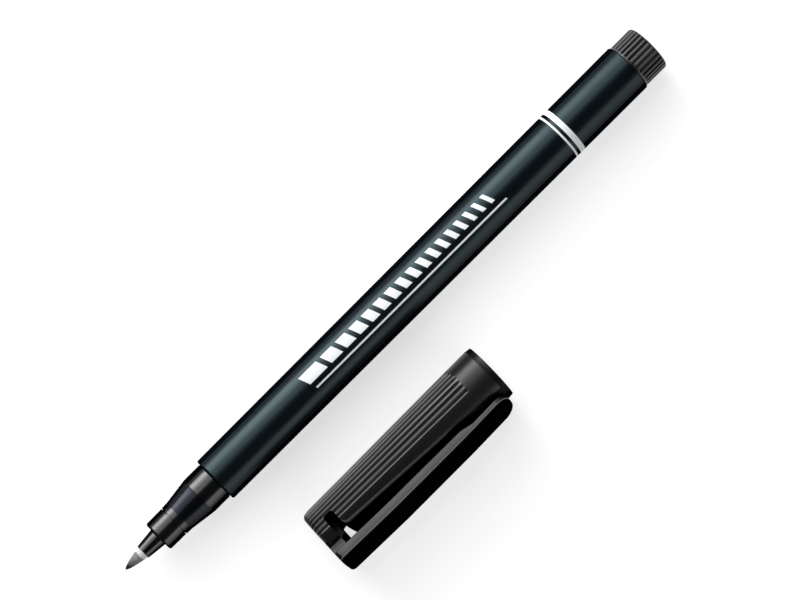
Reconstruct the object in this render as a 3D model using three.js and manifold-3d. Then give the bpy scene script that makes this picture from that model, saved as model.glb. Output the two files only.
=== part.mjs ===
// Fine-point permanent marker, lying on a table with its cap taken off and laid beside it.
// Millimetres, +Z up. The pen lies along X with its nib towards -X, and the cap lies on its -Y side.
// The origin is on the table, under the middle of the whole.

import * as THREE from "three";
import { mergeVertices } from "three/addons/utils/BufferGeometryUtils.js";
import Module from "manifold-3d";

const wasm = await Module();
wasm.setup();

// Barrel, from its front shoulder (X = 0 in the pen's own frame) to its rear face
const BARREL_LENGTH = 96.4;
const BARREL_FRONT_RADIUS = 4.26;
const BARREL_REAR_RADIUS = 4.51;
const BARREL_FRONT_EDGE = 0.35;
const BARREL_REAR_EDGE = 0.15;
const BARREL_BORE_RADIUS = 3.5;
const SPIGOT_SEAT_RADIUS = 3.3;
const PLUG_SEAT_RADIUS = 3.7;
const BARREL_RIBS = 6;
const BARREL_RIB_WIDTH = 0.6;
const BARREL_RIB_ROOT = 0.15;

// Nose section, ahead of the shoulder
const NOSE_LENGTH = 9.4;
const NOSE_FRONT_RADIUS = 2.93;
const NOSE_RING_RADIUS = 2.97;
const NOSE_RING_LENGTH = 1.05;
const NOSE_REAR_RADIUS = 3.59;
const NOSE_REAR_LENGTH = 3.66;
const SPIGOT_LENGTH = 8.5;
const HOLDER_BORE_RADIUS = 2;
const HOLDER_BORE_DEPTH = 5;

// Nib holder: a collar with a rounded front edge, a tapered ferrule before it and a stem behind it
const COLLAR_RADIUS = 2.87;
const COLLAR_LENGTH = 3.4;
const COLLAR_EDGE = 0.4;
const SEAM_WIDTH = 0.33;
const SEAM_DEPTH = 0.27;
const FERRULE_LENGTH = 3.48;
const FERRULE_FRONT_RADIUS = 1.31;
const FERRULE_REAR_RADIUS = 1.67;
const FERRULE_EDGE = 0.06;

// Nib: a rod with a slightly bulging conical point, pushed through the holder into the reservoir
const NIB_RADIUS = 1.17;
const NIB_POINT_LENGTH = 4;
const NIB_POINT_CURVE = 0.58;
const NIB_TIP_RADIUS = 0.05;
const NIB_IN_RESERVOIR = 5;

// Reservoir and its film
const RESERVOIR_RADIUS = 3.05;
const SLEEVE_THICKNESS = 0.1;

// End plug: a grooved head behind the barrel and a hollow skirt in it
const PLUG_RADIUS = 4.3;
const PLUG_LENGTH = 4.95;
const PLUG_EDGE = 0.55;
const PLUG_SKIRT_LENGTH = 6;
const PLUG_WALL = 0.9;
const PLUG_HOLLOW_IN_HEAD = 3.4;
const PLUG_GROOVES = 30;
const PLUG_GROOVE_DEPTH = 0.22;
const PLUG_GROOVE_SHARE = 0.5;
const PLUG_COLLAR_LENGTH = 0.3;

// Cap, from the plane of its mouth (X = 0 in the cap's own frame) to its closed end at -X
const CAP_LENGTH = 39.6;
const CAP_MOUTH_RADIUS = 5.1;
const CAP_END_RADIUS = 4.3;
const CAP_END_EDGE = 1.1;
const CAP_MOUTH_EDGE = 0.2;
const CAP_END_LEAN_DEG = 3;
const CAP_LIP_LENGTH = 1;
const CAP_LIP_DEPTH = 0.06;
const CAP_BORE_RADIUS = 3.66;
const CAP_BORE_DEPTH = 9;
const LINER_SEAT_RADIUS = 3.5;
const LINER_SEAT_TAPER = 0.28;
const END_CHAMBER_RADIUS = 2.65;
const END_CHAMBER_IN_SLOT = 1.03;
const CAP_GROOVES_ROUND = 32;
const CAP_GROOVE_DEPTH = 0.24;
const CAP_GROOVE_SHARE = 0.5;
const CAP_SMOOTH_BAND = 5.5;
const CAP_SMOOTH_HALF_ANGLE_DEG = 62;

// Inner cap
const LINER_LENGTH = 14;
const LINER_SEAL_RADIUS = 2.95;
const LINER_SEAL_LENGTH = 4.7;
const LINER_CHAMBER_RADIUS = 2.6;
const LINER_END_WALL = 1.1;

// Vent slot across the cap, under the clip, and the flat-floored recess that follows it
const SLOT_NEAR_MOUTH = 34.97;
const SLOT_WIDTH = 1.96;
const SLOT_FLOOR = 0.1;
const RECESS_WIDTH = 6.3;
const RECESS_FLOOR_AT_SLOT = 3.2;
const RECESS_FLOOR_AT_MOUTH_END = 4.02;
const RECESS_END = 10;
const RECESS_RUN_OUT = 3.2;

// Clip: heights are measured from the cap's axis
const CLIP_WIDTH = 6.1;
const CLIP_END_GAP = 1.6;
const CLIP_CORNER_RADIUS = 2.4;
const CLIP_ROOT_HEIGHT = 7.4;
const CLIP_CROWN_HEIGHT = 7.5;
const CLIP_CROWN_PLACE = 27;
const CLIP_STEP_HEIGHT = 7;
const CLIP_STEP_PLACE = 11.4;
const CLIP_TOE_HEIGHT = 6.55;
const CLIP_TOE_PLACE = 3.8;
const CLIP_TIP_DROP = 0.2;
const CLIP_THICKNESS = 1.62;
const CLIP_TOE_THICKNESS = 0.87;
const CLIP_THINNING = 2.7;
const CLIP_ROOT_CLEARANCE = 0.06;
const ROOT_BLOCK_LENGTH = 2.67;
const ROOT_BLOCK_WIDTH = 3.6;

// Fits between pieces that are pressed together, between the cap's own pieces, and round the nib
const PRESS_CLEARANCE = 0.03;
const CAP_CLEARANCE = 0.04;
const ROD_CLEARANCE = 0.05;
const RESERVOIR_END_GAP = 0.3;

// Where the cap lies: its mouth from the pen's shoulder and axis, and how it is turned
const CAP_MOUTH_ALONG = 45.1;
const CAP_MOUTH_ASIDE = 19.5;
const CAP_YAW_DEG = -1.17;
const CLIP_TIP_UP_DEG = 30;

// The walls of every groove spread by this much for each millimetre of depth
const GROOVE_WALL_SLOPE = 0.4;

const ROUND_SEGMENTS = 48;
const NIB_SEGMENTS = 24;
const ARC_STEPS = 4;
const POINT_STEPS = 8;
const CUT_MARGIN = 1;

const BARREL_BLACK = { color: 0x15191c, roughness: 0.38, metalness: 0 };
const NOSE_BLACK = { color: 0x0c0d0f, roughness: 0.22, metalness: 0 };
const CAP_BLACK = { color: 0x1c1c1d, roughness: 0.5, metalness: 0 };
const LINER_BLACK = { color: 0x17181a, roughness: 0.45, metalness: 0 };
const NIB_GREY = { color: 0xb9b5b4, roughness: 0.9, metalness: 0 };
const FIBRE_INK = { color: 0x1b1b20, roughness: 0.95, metalness: 0 };
const FILM_CLEAR = { color: 0xd8dcdd, roughness: 0.3, metalness: 0 };

const { degToRad } = THREE.MathUtils;

/** A closed geometry as a solid that can be joined and cut. */
function solidOf(geometry) {
  const bare = geometry.clone();
  bare.deleteAttribute("normal");
  bare.deleteAttribute("uv");
  const merged = mergeVertices(bare);
  const vertProperties = new Float32Array(merged.attributes.position.array);
  const triVerts = new Uint32Array(merged.index.array);
  return new wasm.Manifold(new wasm.Mesh({ numProp: 3, vertProperties, triVerts }));
}

/** The geometry of a solid. */
function geometryOf(solid) {
  const mesh = solid.getMesh();
  const geometry = new THREE.BufferGeometry();
  geometry.setAttribute("position", new THREE.BufferAttribute(new Float32Array(mesh.vertProperties), 3));
  geometry.setIndex(new THREE.BufferAttribute(new Uint32Array(mesh.triVerts), 1));
  geometry.computeVertexNormals();
  return geometry;
}

/** One named piece. */
function piece(name, geometry, finish) {
  const mesh = new THREE.Mesh(geometry, new THREE.MeshStandardMaterial(finish));
  mesh.name = name;
  return mesh;
}

/** A body turned round the X axis from an outline of [x, radius] points, run from -X to +X outside. */
function turned(outline, segments = ROUND_SEGMENTS) {
  const profile = outline.map(([x, radius]) => new THREE.Vector2(radius, x));
  return new THREE.LatheGeometry(profile, segments).rotateZ(-Math.PI / 2);
}

/** A tube turned round the X axis: its outside from -X to +X, then its bore from +X to -X. */
function turnedTube(outside, bore) {
  return turned([...outside, ...bore, outside[0]]);
}

/** Points of a quarter round on an outline, from one angle to another round its own centre. */
function roundEdge(x, radius, size, fromDeg, toDeg) {
  return Array.from({ length: ARC_STEPS + 1 }, (_, i) => {
    const angle = degToRad(THREE.MathUtils.lerp(fromDeg, toDeg, i / ARC_STEPS));
    return [x + size * Math.cos(angle), radius + size * Math.sin(angle)];
  });
}

/** A rounded corner between a face that looks to -X and the outside of a turned body. */
function frontEdge(x, radius, size) {
  return roundEdge(x + size, radius - size, size, 180, 90);
}

/** A rounded corner between the outside of a turned body and a face that looks to +X. */
function rearEdge(x, radius, size) {
  return roundEdge(x - size, radius - size, size, 90, 0);
}

/** A flat outline of [x, z] points drawn out evenly across Y. */
function drawnAcross(outline, width) {
  const shape = new THREE.Shape(outline.map(([x, z]) => new THREE.Vector2(x, z)));
  const options = { depth: width, bevelEnabled: false };
  return new THREE.ExtrudeGeometry(shape, options).translate(0, 0, -width / 2).rotateX(Math.PI / 2);
}

/** A trough along X, cut into a cone's surface: one groove at an angle round the X axis from +Z. */
function grooveCutter({ from, to, radiusFrom, radiusTo, depth, halfWidth, angle }) {
  const rise = Math.atan2(radiusTo - radiusFrom, to - from);
  const section = new THREE.Shape([
    new THREE.Vector2(-halfWidth - depth * GROOVE_WALL_SLOPE, depth),
    new THREE.Vector2(-halfWidth + depth * GROOVE_WALL_SLOPE, -depth),
    new THREE.Vector2(halfWidth - depth * GROOVE_WALL_SLOPE, -depth),
    new THREE.Vector2(halfWidth + depth * GROOVE_WALL_SLOPE, depth),
  ]);
  const run = Math.hypot(to - from, radiusTo - radiusFrom);
  const trough = new THREE.ExtrudeGeometry(section, { depth: run, bevelEnabled: false });
  trough.rotateY(Math.PI / 2).rotateX(Math.PI / 2);
  return trough.rotateY(-rise).translate(from, 0, radiusFrom).rotateX(angle);
}

// Places along the pen's axis, and radii that follow from the sizes above
const noseFront = -NOSE_LENGTH;
const collarFront = noseFront - SEAM_WIDTH - COLLAR_LENGTH;
const ferruleFront = collarFront - FERRULE_LENGTH;
const plugSkirtFront = BARREL_LENGTH - PLUG_SKIRT_LENGTH;
const reservoirFront = SPIGOT_LENGTH + RESERVOIR_END_GAP;
const reservoirRear = plugSkirtFront - RESERVOIR_END_GAP;
const sleeveOuterRadius = RESERVOIR_RADIUS + PRESS_CLEARANCE + SLEEVE_THICKNESS;
const rodBoreRadius = NIB_RADIUS + ROD_CLEARANCE;

function makeBarrel() {
  const outside = [
    ...frontEdge(0, BARREL_FRONT_RADIUS, BARREL_FRONT_EDGE),
    ...rearEdge(BARREL_LENGTH, BARREL_REAR_RADIUS, BARREL_REAR_EDGE),
  ];
  const bore = [
    [BARREL_LENGTH, PLUG_SEAT_RADIUS],
    [plugSkirtFront - CUT_MARGIN, PLUG_SEAT_RADIUS],
    [plugSkirtFront - CUT_MARGIN, BARREL_BORE_RADIUS],
    [reservoirFront, BARREL_BORE_RADIUS],
    [reservoirFront, SPIGOT_SEAT_RADIUS],
    [0, SPIGOT_SEAT_RADIUS],
  ];
  let barrel = solidOf(turnedTube(outside, bore));
  const ribFoot = sleeveOuterRadius + PRESS_CLEARANCE;
  const ribHeight = BARREL_BORE_RADIUS - ribFoot + BARREL_RIB_ROOT;
  const ribLength = plugSkirtFront - 2 * CUT_MARGIN - reservoirFront;
  for (let i = 0; i < BARREL_RIBS; i++) {
    const rib = new THREE.BoxGeometry(ribLength, BARREL_RIB_WIDTH, ribHeight);
    rib.translate(reservoirFront + ribLength / 2, 0, ribFoot + ribHeight / 2);
    rib.rotateX((2 * Math.PI * i) / BARREL_RIBS);
    barrel = barrel.add(solidOf(rib));
  }
  return piece("barrel", geometryOf(barrel), BARREL_BLACK);
}

function makeNoseSection() {
  const spigotRadius = SPIGOT_SEAT_RADIUS - PRESS_CLEARANCE;
  const outside = [
    [noseFront, NOSE_FRONT_RADIUS],
    [noseFront + NOSE_RING_LENGTH, NOSE_RING_RADIUS],
    [-NOSE_REAR_LENGTH, NOSE_REAR_RADIUS],
    [0, NOSE_REAR_RADIUS],
    [0, spigotRadius],
    [SPIGOT_LENGTH, spigotRadius],
  ];
  const bore = [
    [SPIGOT_LENGTH, rodBoreRadius],
    [noseFront + HOLDER_BORE_DEPTH, rodBoreRadius],
    [noseFront + HOLDER_BORE_DEPTH, HOLDER_BORE_RADIUS],
    [noseFront, HOLDER_BORE_RADIUS],
  ];
  return piece("nose_section", turnedTube(outside, bore), NOSE_BLACK);
}

function makeNibHolder() {
  const seamRadius = COLLAR_RADIUS - SEAM_DEPTH;
  const stemRadius = HOLDER_BORE_RADIUS - PRESS_CLEARANCE;
  const stemRear = noseFront + HOLDER_BORE_DEPTH - RESERVOIR_END_GAP;
  const outside = [
    [ferruleFront, FERRULE_FRONT_RADIUS - FERRULE_EDGE],
    [ferruleFront + FERRULE_EDGE, FERRULE_FRONT_RADIUS],
    [collarFront, FERRULE_REAR_RADIUS],
    ...frontEdge(collarFront, COLLAR_RADIUS, COLLAR_EDGE),
    [noseFront - SEAM_WIDTH, COLLAR_RADIUS],
    [noseFront - SEAM_WIDTH, seamRadius],
    [noseFront, seamRadius],
    [noseFront, stemRadius],
    [stemRear, stemRadius],
  ];
  const bore = [
    [stemRear, NIB_RADIUS + PRESS_CLEARANCE],
    [ferruleFront, NIB_RADIUS + PRESS_CLEARANCE],
  ];
  return piece("nib_holder", turnedTube(outside, bore), NOSE_BLACK);
}

function makeNib() {
  const tip = ferruleFront - NIB_POINT_LENGTH;
  const point = Array.from({ length: POINT_STEPS }, (_, i) => {
    const along = (i + 1) / POINT_STEPS;
    return [tip + NIB_POINT_LENGTH * along ** 2, NIB_RADIUS * along ** (2 * NIB_POINT_CURVE)];
  });
  const rodRear = reservoirFront + NIB_IN_RESERVOIR;
  const outline = [[tip, 0], [tip, NIB_TIP_RADIUS], ...point, [rodRear, NIB_RADIUS], [rodRear, 0]];
  return piece("nib", turned(outline, NIB_SEGMENTS), NIB_GREY);
}

function makeReservoir() {
  const socketRear = reservoirFront + NIB_IN_RESERVOIR + RESERVOIR_END_GAP;
  const outline = [
    [socketRear, 0],
    [socketRear, rodBoreRadius],
    [reservoirFront, rodBoreRadius],
    [reservoirFront, RESERVOIR_RADIUS],
    [reservoirRear, RESERVOIR_RADIUS],
    [reservoirRear, 0],
  ];
  return piece("ink_reservoir", turned(outline), FIBRE_INK);
}

function makeReservoirSleeve() {
  const outside = [[reservoirFront, sleeveOuterRadius], [reservoirRear, sleeveOuterRadius]];
  const bore = [
    [reservoirRear, RESERVOIR_RADIUS + PRESS_CLEARANCE],
    [reservoirFront, RESERVOIR_RADIUS + PRESS_CLEARANCE],
  ];
  return piece("reservoir_sleeve", turnedTube(outside, bore), FILM_CLEAR);
}

function makeEndPlug() {
  const rear = BARREL_LENGTH + PLUG_LENGTH;
  const skirtRadius = PLUG_SEAT_RADIUS - PRESS_CLEARANCE;
  const hollowRadius = skirtRadius - PLUG_WALL;
  const outline = [
    [BARREL_LENGTH + PLUG_HOLLOW_IN_HEAD, 0],
    [BARREL_LENGTH + PLUG_HOLLOW_IN_HEAD, hollowRadius],
    [plugSkirtFront, hollowRadius],
    [plugSkirtFront, skirtRadius],
    [BARREL_LENGTH, skirtRadius],
    [BARREL_LENGTH, PLUG_RADIUS],
    ...rearEdge(rear, PLUG_RADIUS, PLUG_EDGE),
    [rear, 0],
  ];
  let plug = solidOf(turned(outline, 2 * PLUG_GROOVES));
  const pitch = (2 * Math.PI) / PLUG_GROOVES;
  for (let i = 0; i < PLUG_GROOVES; i++) {
    const cutter = grooveCutter({
      from: BARREL_LENGTH + PLUG_COLLAR_LENGTH,
      to: rear + CUT_MARGIN,
      radiusFrom: PLUG_RADIUS,
      radiusTo: PLUG_RADIUS,
      depth: PLUG_GROOVE_DEPTH,
      halfWidth: (PLUG_RADIUS * pitch * PLUG_GROOVE_SHARE) / 2,
      angle: i * pitch,
    });
    plug = plug.subtract(solidOf(cutter));
  }
  return piece("end_plug", geometryOf(plug), CAP_BLACK);
}

/** The cap's outer radius at a distance from its mouth. */
function capRadius(fromMouth) {
  return THREE.MathUtils.lerp(CAP_MOUTH_RADIUS, CAP_END_RADIUS, fromMouth / CAP_LENGTH);
}

/** How far the closed end reaches back at a height from the axis: its face leans towards the clip. */
function leanAt(height) {
  return height * Math.tan(degToRad(CAP_END_LEAN_DEG));
}

/** Leans the closed end of the cap's geometry: every point in its rounded corner or on its face. */
function leanClosedEnd(geometry) {
  const place = geometry.attributes.position;
  const cornerStart = CAP_END_EDGE - CAP_LENGTH;
  for (let i = 0; i < place.count; i++) {
    if (place.getX(i) < cornerStart + CAP_CLEARANCE) {
      place.setX(i, place.getX(i) - leanAt(place.getZ(i)));
    }
  }
  return geometry;
}

const recessBack = SLOT_NEAR_MOUTH + SLOT_WIDTH / 2;
const linerSeatEnd = CAP_BORE_DEPTH + LINER_LENGTH + CAP_CLEARANCE;
const endChamberDepth = SLOT_NEAR_MOUTH + END_CHAMBER_IN_SLOT;

/** The turned body of the cap, with its stepped bore. */
function capBody() {
  const outside = [
    [-CAP_LENGTH, 0],
    ...frontEdge(-CAP_LENGTH, CAP_END_RADIUS, CAP_END_EDGE),
    [-CAP_LIP_LENGTH, capRadius(CAP_LIP_LENGTH)],
    [-CAP_LIP_LENGTH, CAP_MOUTH_RADIUS - CAP_LIP_DEPTH],
    ...rearEdge(0, CAP_MOUTH_RADIUS - CAP_LIP_DEPTH, CAP_MOUTH_EDGE),
  ];
  const bore = [
    [0, CAP_BORE_RADIUS],
    [-CAP_BORE_DEPTH, CAP_BORE_RADIUS],
    [-CAP_BORE_DEPTH, LINER_SEAT_RADIUS],
    [-linerSeatEnd, LINER_SEAT_RADIUS - LINER_SEAT_TAPER],
    [-linerSeatEnd, END_CHAMBER_RADIUS],
    [-endChamberDepth, END_CHAMBER_RADIUS],
    [-endChamberDepth, 0],
  ];
  return solidOf(leanClosedEnd(turned([...outside, ...bore])));
}

/** The grooves of the cap's grip, all round it except on the clip's side. */
function capGrooves() {
  const pitch = (2 * Math.PI) / CAP_GROOVES_ROUND;
  const smooth = degToRad(CAP_SMOOTH_HALF_ANGLE_DEG);
  const cutters = [];
  for (let i = 0; i < CAP_GROOVES_ROUND; i++) {
    const angle = (i + 0.5) * pitch;
    if (angle < smooth || angle > 2 * Math.PI - smooth) {
      continue;
    }
    cutters.push(
      grooveCutter({
        from: -CAP_LENGTH - CUT_MARGIN,
        to: -CAP_SMOOTH_BAND,
        radiusFrom: capRadius(CAP_LENGTH + CUT_MARGIN),
        radiusTo: capRadius(CAP_SMOOTH_BAND),
        depth: CAP_GROOVE_DEPTH,
        halfWidth: (CAP_END_RADIUS * pitch * CAP_GROOVE_SHARE) / 2,
        angle,
      }),
    );
  }
  return cutters;
}

/** The slot that runs right across the cap under the clip. */
function slotCutter() {
  const height = CLIP_CROWN_HEIGHT - SLOT_FLOOR;
  const cutter = new THREE.BoxGeometry(SLOT_WIDTH, 2 * CAP_MOUTH_RADIUS + CUT_MARGIN, height);
  return cutter.translate(-SLOT_NEAR_MOUTH - SLOT_WIDTH / 2, 0, SLOT_FLOOR + height / 2);
}

/** The recess under the clip, from the slot to where its floor runs out at the cap's surface. */
function recessCutter() {
  const top = CLIP_CROWN_HEIGHT;
  const outline = [
    [-recessBack, RECESS_FLOOR_AT_SLOT],
    [-RECESS_END, RECESS_FLOOR_AT_MOUTH_END],
    [-RECESS_RUN_OUT, capRadius(RECESS_RUN_OUT)],
    [-RECESS_RUN_OUT, top],
    [-recessBack, top],
  ];
  return drawnAcross(outline, RECESS_WIDTH);
}

/** The block that carries the clip at the cap's closed end. */
function rootBlock() {
  const foot = capRadius(CAP_LENGTH) - CAP_END_EDGE - CAP_GROOVE_DEPTH;
  const top = CLIP_ROOT_HEIGHT - CLIP_THICKNESS - CLIP_ROOT_CLEARANCE;
  const back = -CAP_LENGTH;
  const front = back + ROOT_BLOCK_LENGTH;
  const outline = [
    [back - leanAt(foot), foot],
    [front, foot],
    [front, top],
    [back - leanAt(top), top],
  ];
  return drawnAcross(outline, ROOT_BLOCK_WIDTH);
}

function makeCapShell() {
  let shell = capBody();
  for (const cutter of [...capGrooves(), slotCutter(), recessCutter()]) {
    shell = shell.subtract(solidOf(cutter));
  }
  shell = shell.add(solidOf(rootBlock()));
  return piece("cap_shell", geometryOf(shell), CAP_BLACK);
}

function makeCapLiner() {
  const mouth = -CAP_BORE_DEPTH - CAP_CLEARANCE;
  const end = mouth - LINER_LENGTH + CAP_CLEARANCE;
  const outerRadius = LINER_SEAT_RADIUS - CAP_CLEARANCE;
  const outline = [
    [end, 0],
    [end, outerRadius - LINER_SEAT_TAPER],
    [mouth, outerRadius],
    [mouth, LINER_SEAL_RADIUS],
    [mouth - LINER_SEAL_LENGTH, LINER_SEAL_RADIUS],
    [mouth - LINER_SEAL_LENGTH, LINER_CHAMBER_RADIUS],
    [end + LINER_END_WALL, LINER_CHAMBER_RADIUS],
    [end + LINER_END_WALL, 0],
  ];
  return piece("cap_liner", turned(outline), LINER_BLACK);
}

function makeCapClip() {
  const back = -CAP_LENGTH;
  const tip = -CLIP_END_GAP;
  const outer = [
    [back - leanAt(CLIP_ROOT_HEIGHT), CLIP_ROOT_HEIGHT],
    [-CLIP_CROWN_PLACE, CLIP_CROWN_HEIGHT],
    [-CLIP_STEP_PLACE, CLIP_STEP_HEIGHT],
    [-CLIP_TOE_PLACE, CLIP_TOE_HEIGHT],
    [tip, CLIP_TOE_HEIGHT - CLIP_TIP_DROP],
  ];
  const inner = [
    [tip, CLIP_TOE_HEIGHT - CLIP_TIP_DROP - CLIP_TOE_THICKNESS],
    [-CLIP_TOE_PLACE, CLIP_TOE_HEIGHT - CLIP_TOE_THICKNESS],
    [CLIP_THINNING - CLIP_STEP_PLACE, CLIP_STEP_HEIGHT - CLIP_TOE_THICKNESS],
    [-CLIP_STEP_PLACE, CLIP_STEP_HEIGHT - CLIP_THICKNESS],
    [-CLIP_CROWN_PLACE, CLIP_CROWN_HEIGHT - CLIP_THICKNESS],
    [back - leanAt(CLIP_ROOT_HEIGHT - CLIP_THICKNESS), CLIP_ROOT_HEIGHT - CLIP_THICKNESS],
  ];
  const plate = solidOf(drawnAcross([...outer, ...inner].reverse(), CLIP_WIDTH));

  const half = CLIP_WIDTH / 2;
  const corner = CLIP_CORNER_RADIUS;
  const plan = new THREE.Shape();
  plan.moveTo(back - CUT_MARGIN, -half);
  plan.lineTo(tip - corner, -half);
  plan.absarc(tip - corner, corner - half, corner, -Math.PI / 2, 0, false);
  plan.absarc(tip - corner, half - corner, corner, 0, Math.PI / 2, false);
  plan.lineTo(back - CUT_MARGIN, half);
  const options = { depth: CLIP_CROWN_HEIGHT + CUT_MARGIN, bevelEnabled: false, curveSegments: 8 };
  const planBlock = solidOf(new THREE.ExtrudeGeometry(plan, options));
  return piece("cap_clip", geometryOf(plate.intersect(planBlock)), CAP_BLACK);
}

const pen = new THREE.Group();
pen.add(
  makeBarrel(),
  makeNoseSection(),
  makeNibHolder(),
  makeNib(),
  makeReservoir(),
  makeReservoirSleeve(),
  makeEndPlug(),
);
pen.position.z = BARREL_REAR_RADIUS;

// The cap rests on its taper, so its axis climbs towards the mouth
const capPitch = Math.atan2(CAP_MOUTH_RADIUS - CAP_END_RADIUS, CAP_LENGTH);
const cap = new THREE.Group();
cap.add(makeCapShell(), makeCapLiner(), makeCapClip());
cap.rotation.set(degToRad(90 - CLIP_TIP_UP_DEG), -capPitch, degToRad(CAP_YAW_DEG), "ZYX");
cap.position.set(CAP_MOUTH_ALONG, -CAP_MOUTH_ASIDE, CAP_MOUTH_RADIUS * Math.cos(capPitch));

const marker = new THREE.Group();
marker.add(pen, cap);

// The origin goes to the middle of the whole, on the table
const extent = new THREE.Box3().setFromObject(marker, true);
const middle = extent.getCenter(new THREE.Vector3());
for (const part of [pen, cap]) {
  part.position.sub(new THREE.Vector3(middle.x, middle.y, extent.min.z));
}

export default marker;
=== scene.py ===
"""A fine-point permanent marker with its cap laid beside it: fine shapes, finishes and a small studio.

Sizes are in millimetres and turn into metres where a mesh is made. Each assembly draws its pieces in a
frame of its own, with x along its axis from the nib's side to the plug's side, and its placement takes
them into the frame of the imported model.
"""

import logging
import math
from collections.abc import Callable, Iterable, Sequence
from dataclasses import dataclass
from enum import Enum, IntEnum

import bmesh
import bpy
from mathutils import Matrix, Vector


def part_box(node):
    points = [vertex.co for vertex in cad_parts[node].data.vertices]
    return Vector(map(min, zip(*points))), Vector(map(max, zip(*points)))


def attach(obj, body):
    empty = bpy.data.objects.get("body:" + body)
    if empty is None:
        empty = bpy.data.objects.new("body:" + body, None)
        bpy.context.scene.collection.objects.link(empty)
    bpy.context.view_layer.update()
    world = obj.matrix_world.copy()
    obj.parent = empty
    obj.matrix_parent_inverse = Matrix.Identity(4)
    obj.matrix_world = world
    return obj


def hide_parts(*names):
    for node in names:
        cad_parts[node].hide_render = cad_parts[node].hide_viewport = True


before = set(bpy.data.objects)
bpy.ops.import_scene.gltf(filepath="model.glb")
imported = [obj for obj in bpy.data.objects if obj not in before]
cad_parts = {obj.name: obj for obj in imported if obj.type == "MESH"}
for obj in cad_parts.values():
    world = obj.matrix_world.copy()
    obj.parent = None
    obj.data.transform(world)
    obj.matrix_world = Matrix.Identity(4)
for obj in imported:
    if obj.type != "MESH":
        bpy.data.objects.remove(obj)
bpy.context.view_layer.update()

MM = 0.001

# Two places along an axis that are closer than this are one place
SAME_PLACE = 0.01

# Most values of a noise texture lie in this reach
NOISE_REACH = {"From_Min": 0.3, "From_Max": 0.7}

Outline = list[tuple[float, float]]
Point = tuple[float, float, float]

log = logging.getLogger("marker")


class Body(Enum):
    """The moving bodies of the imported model."""

    PEN = "pen"
    CAP = "cap"
    CLIP = "clip"


class Slot(Enum):
    """The record's material slots."""

    BARREL = "barrel_plastic"
    NOSE = "nose_plastic"
    CAP = "cap_plastic"
    LINER = "liner_plastic"
    NIB = "nib_fibre"
    RESERVOIR = "reservoir_fibre"
    FILM = "film"


def hex_to_linear(code: str) -> tuple[float, float, float, float]:
    """Turns an sRGB colour into the linear one that a shader takes.

    Args:
        code: The colour as "#rrggbb".

    Returns:
        Linear red, green and blue, and an alpha of 1.
    """
    channels = [int(code[i : i + 2], 16) / 255 for i in (1, 3, 5)]
    linear = [c / 12.92 if c <= 0.04045 else ((c + 0.055) / 1.055) ** 2.4 for c in channels]
    return (linear[0], linear[1], linear[2], 1.0)


def plug_in(node: bpy.types.Node, **inputs) -> None:
    """Sets or links the inputs of a node.

    Args:
        node: The node.
        inputs: Its inputs by name, with _ for a space, or as i0, i1 for a place in its list. An output
            socket is linked, a node by its first output, and anything else is set.
    """
    for name, value in inputs.items():
        place = int(name[1:]) if name[0] == "i" and name[1:].isdigit() else name.replace("_", " ")
        source = value.outputs[0] if isinstance(value, bpy.types.Node) else value
        if isinstance(source, bpy.types.NodeSocket):
            node.id_data.links.new(source, node.inputs[place])
        else:
            node.inputs[place].default_value = source


def add_node(tree: bpy.types.NodeTree, kind: str, settings: dict | None = None, **inputs) -> bpy.types.Node:
    """Adds one node with its settings, values and links.

    Args:
        tree: The node tree that it goes into.
        kind: The node's type, without the words ShaderNode before it.
        settings: The node's own properties, by name.
        inputs: Its inputs, as plug_in takes them.

    Returns:
        The new node.
    """
    node = tree.nodes.new("ShaderNode" + kind)
    for name, value in (settings or {}).items():
        setattr(node, name, value)
    plug_in(node, **inputs)
    return node


def start_material(name: str) -> tuple[bpy.types.Material, bpy.types.Node]:
    """Starts a material.

    Args:
        name: The material's name.

    Returns:
        The material and its principled shader.
    """
    made = bpy.data.materials.new(name)
    made.use_nodes = True
    return made, made.node_tree.nodes["Principled BSDF"]


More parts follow.
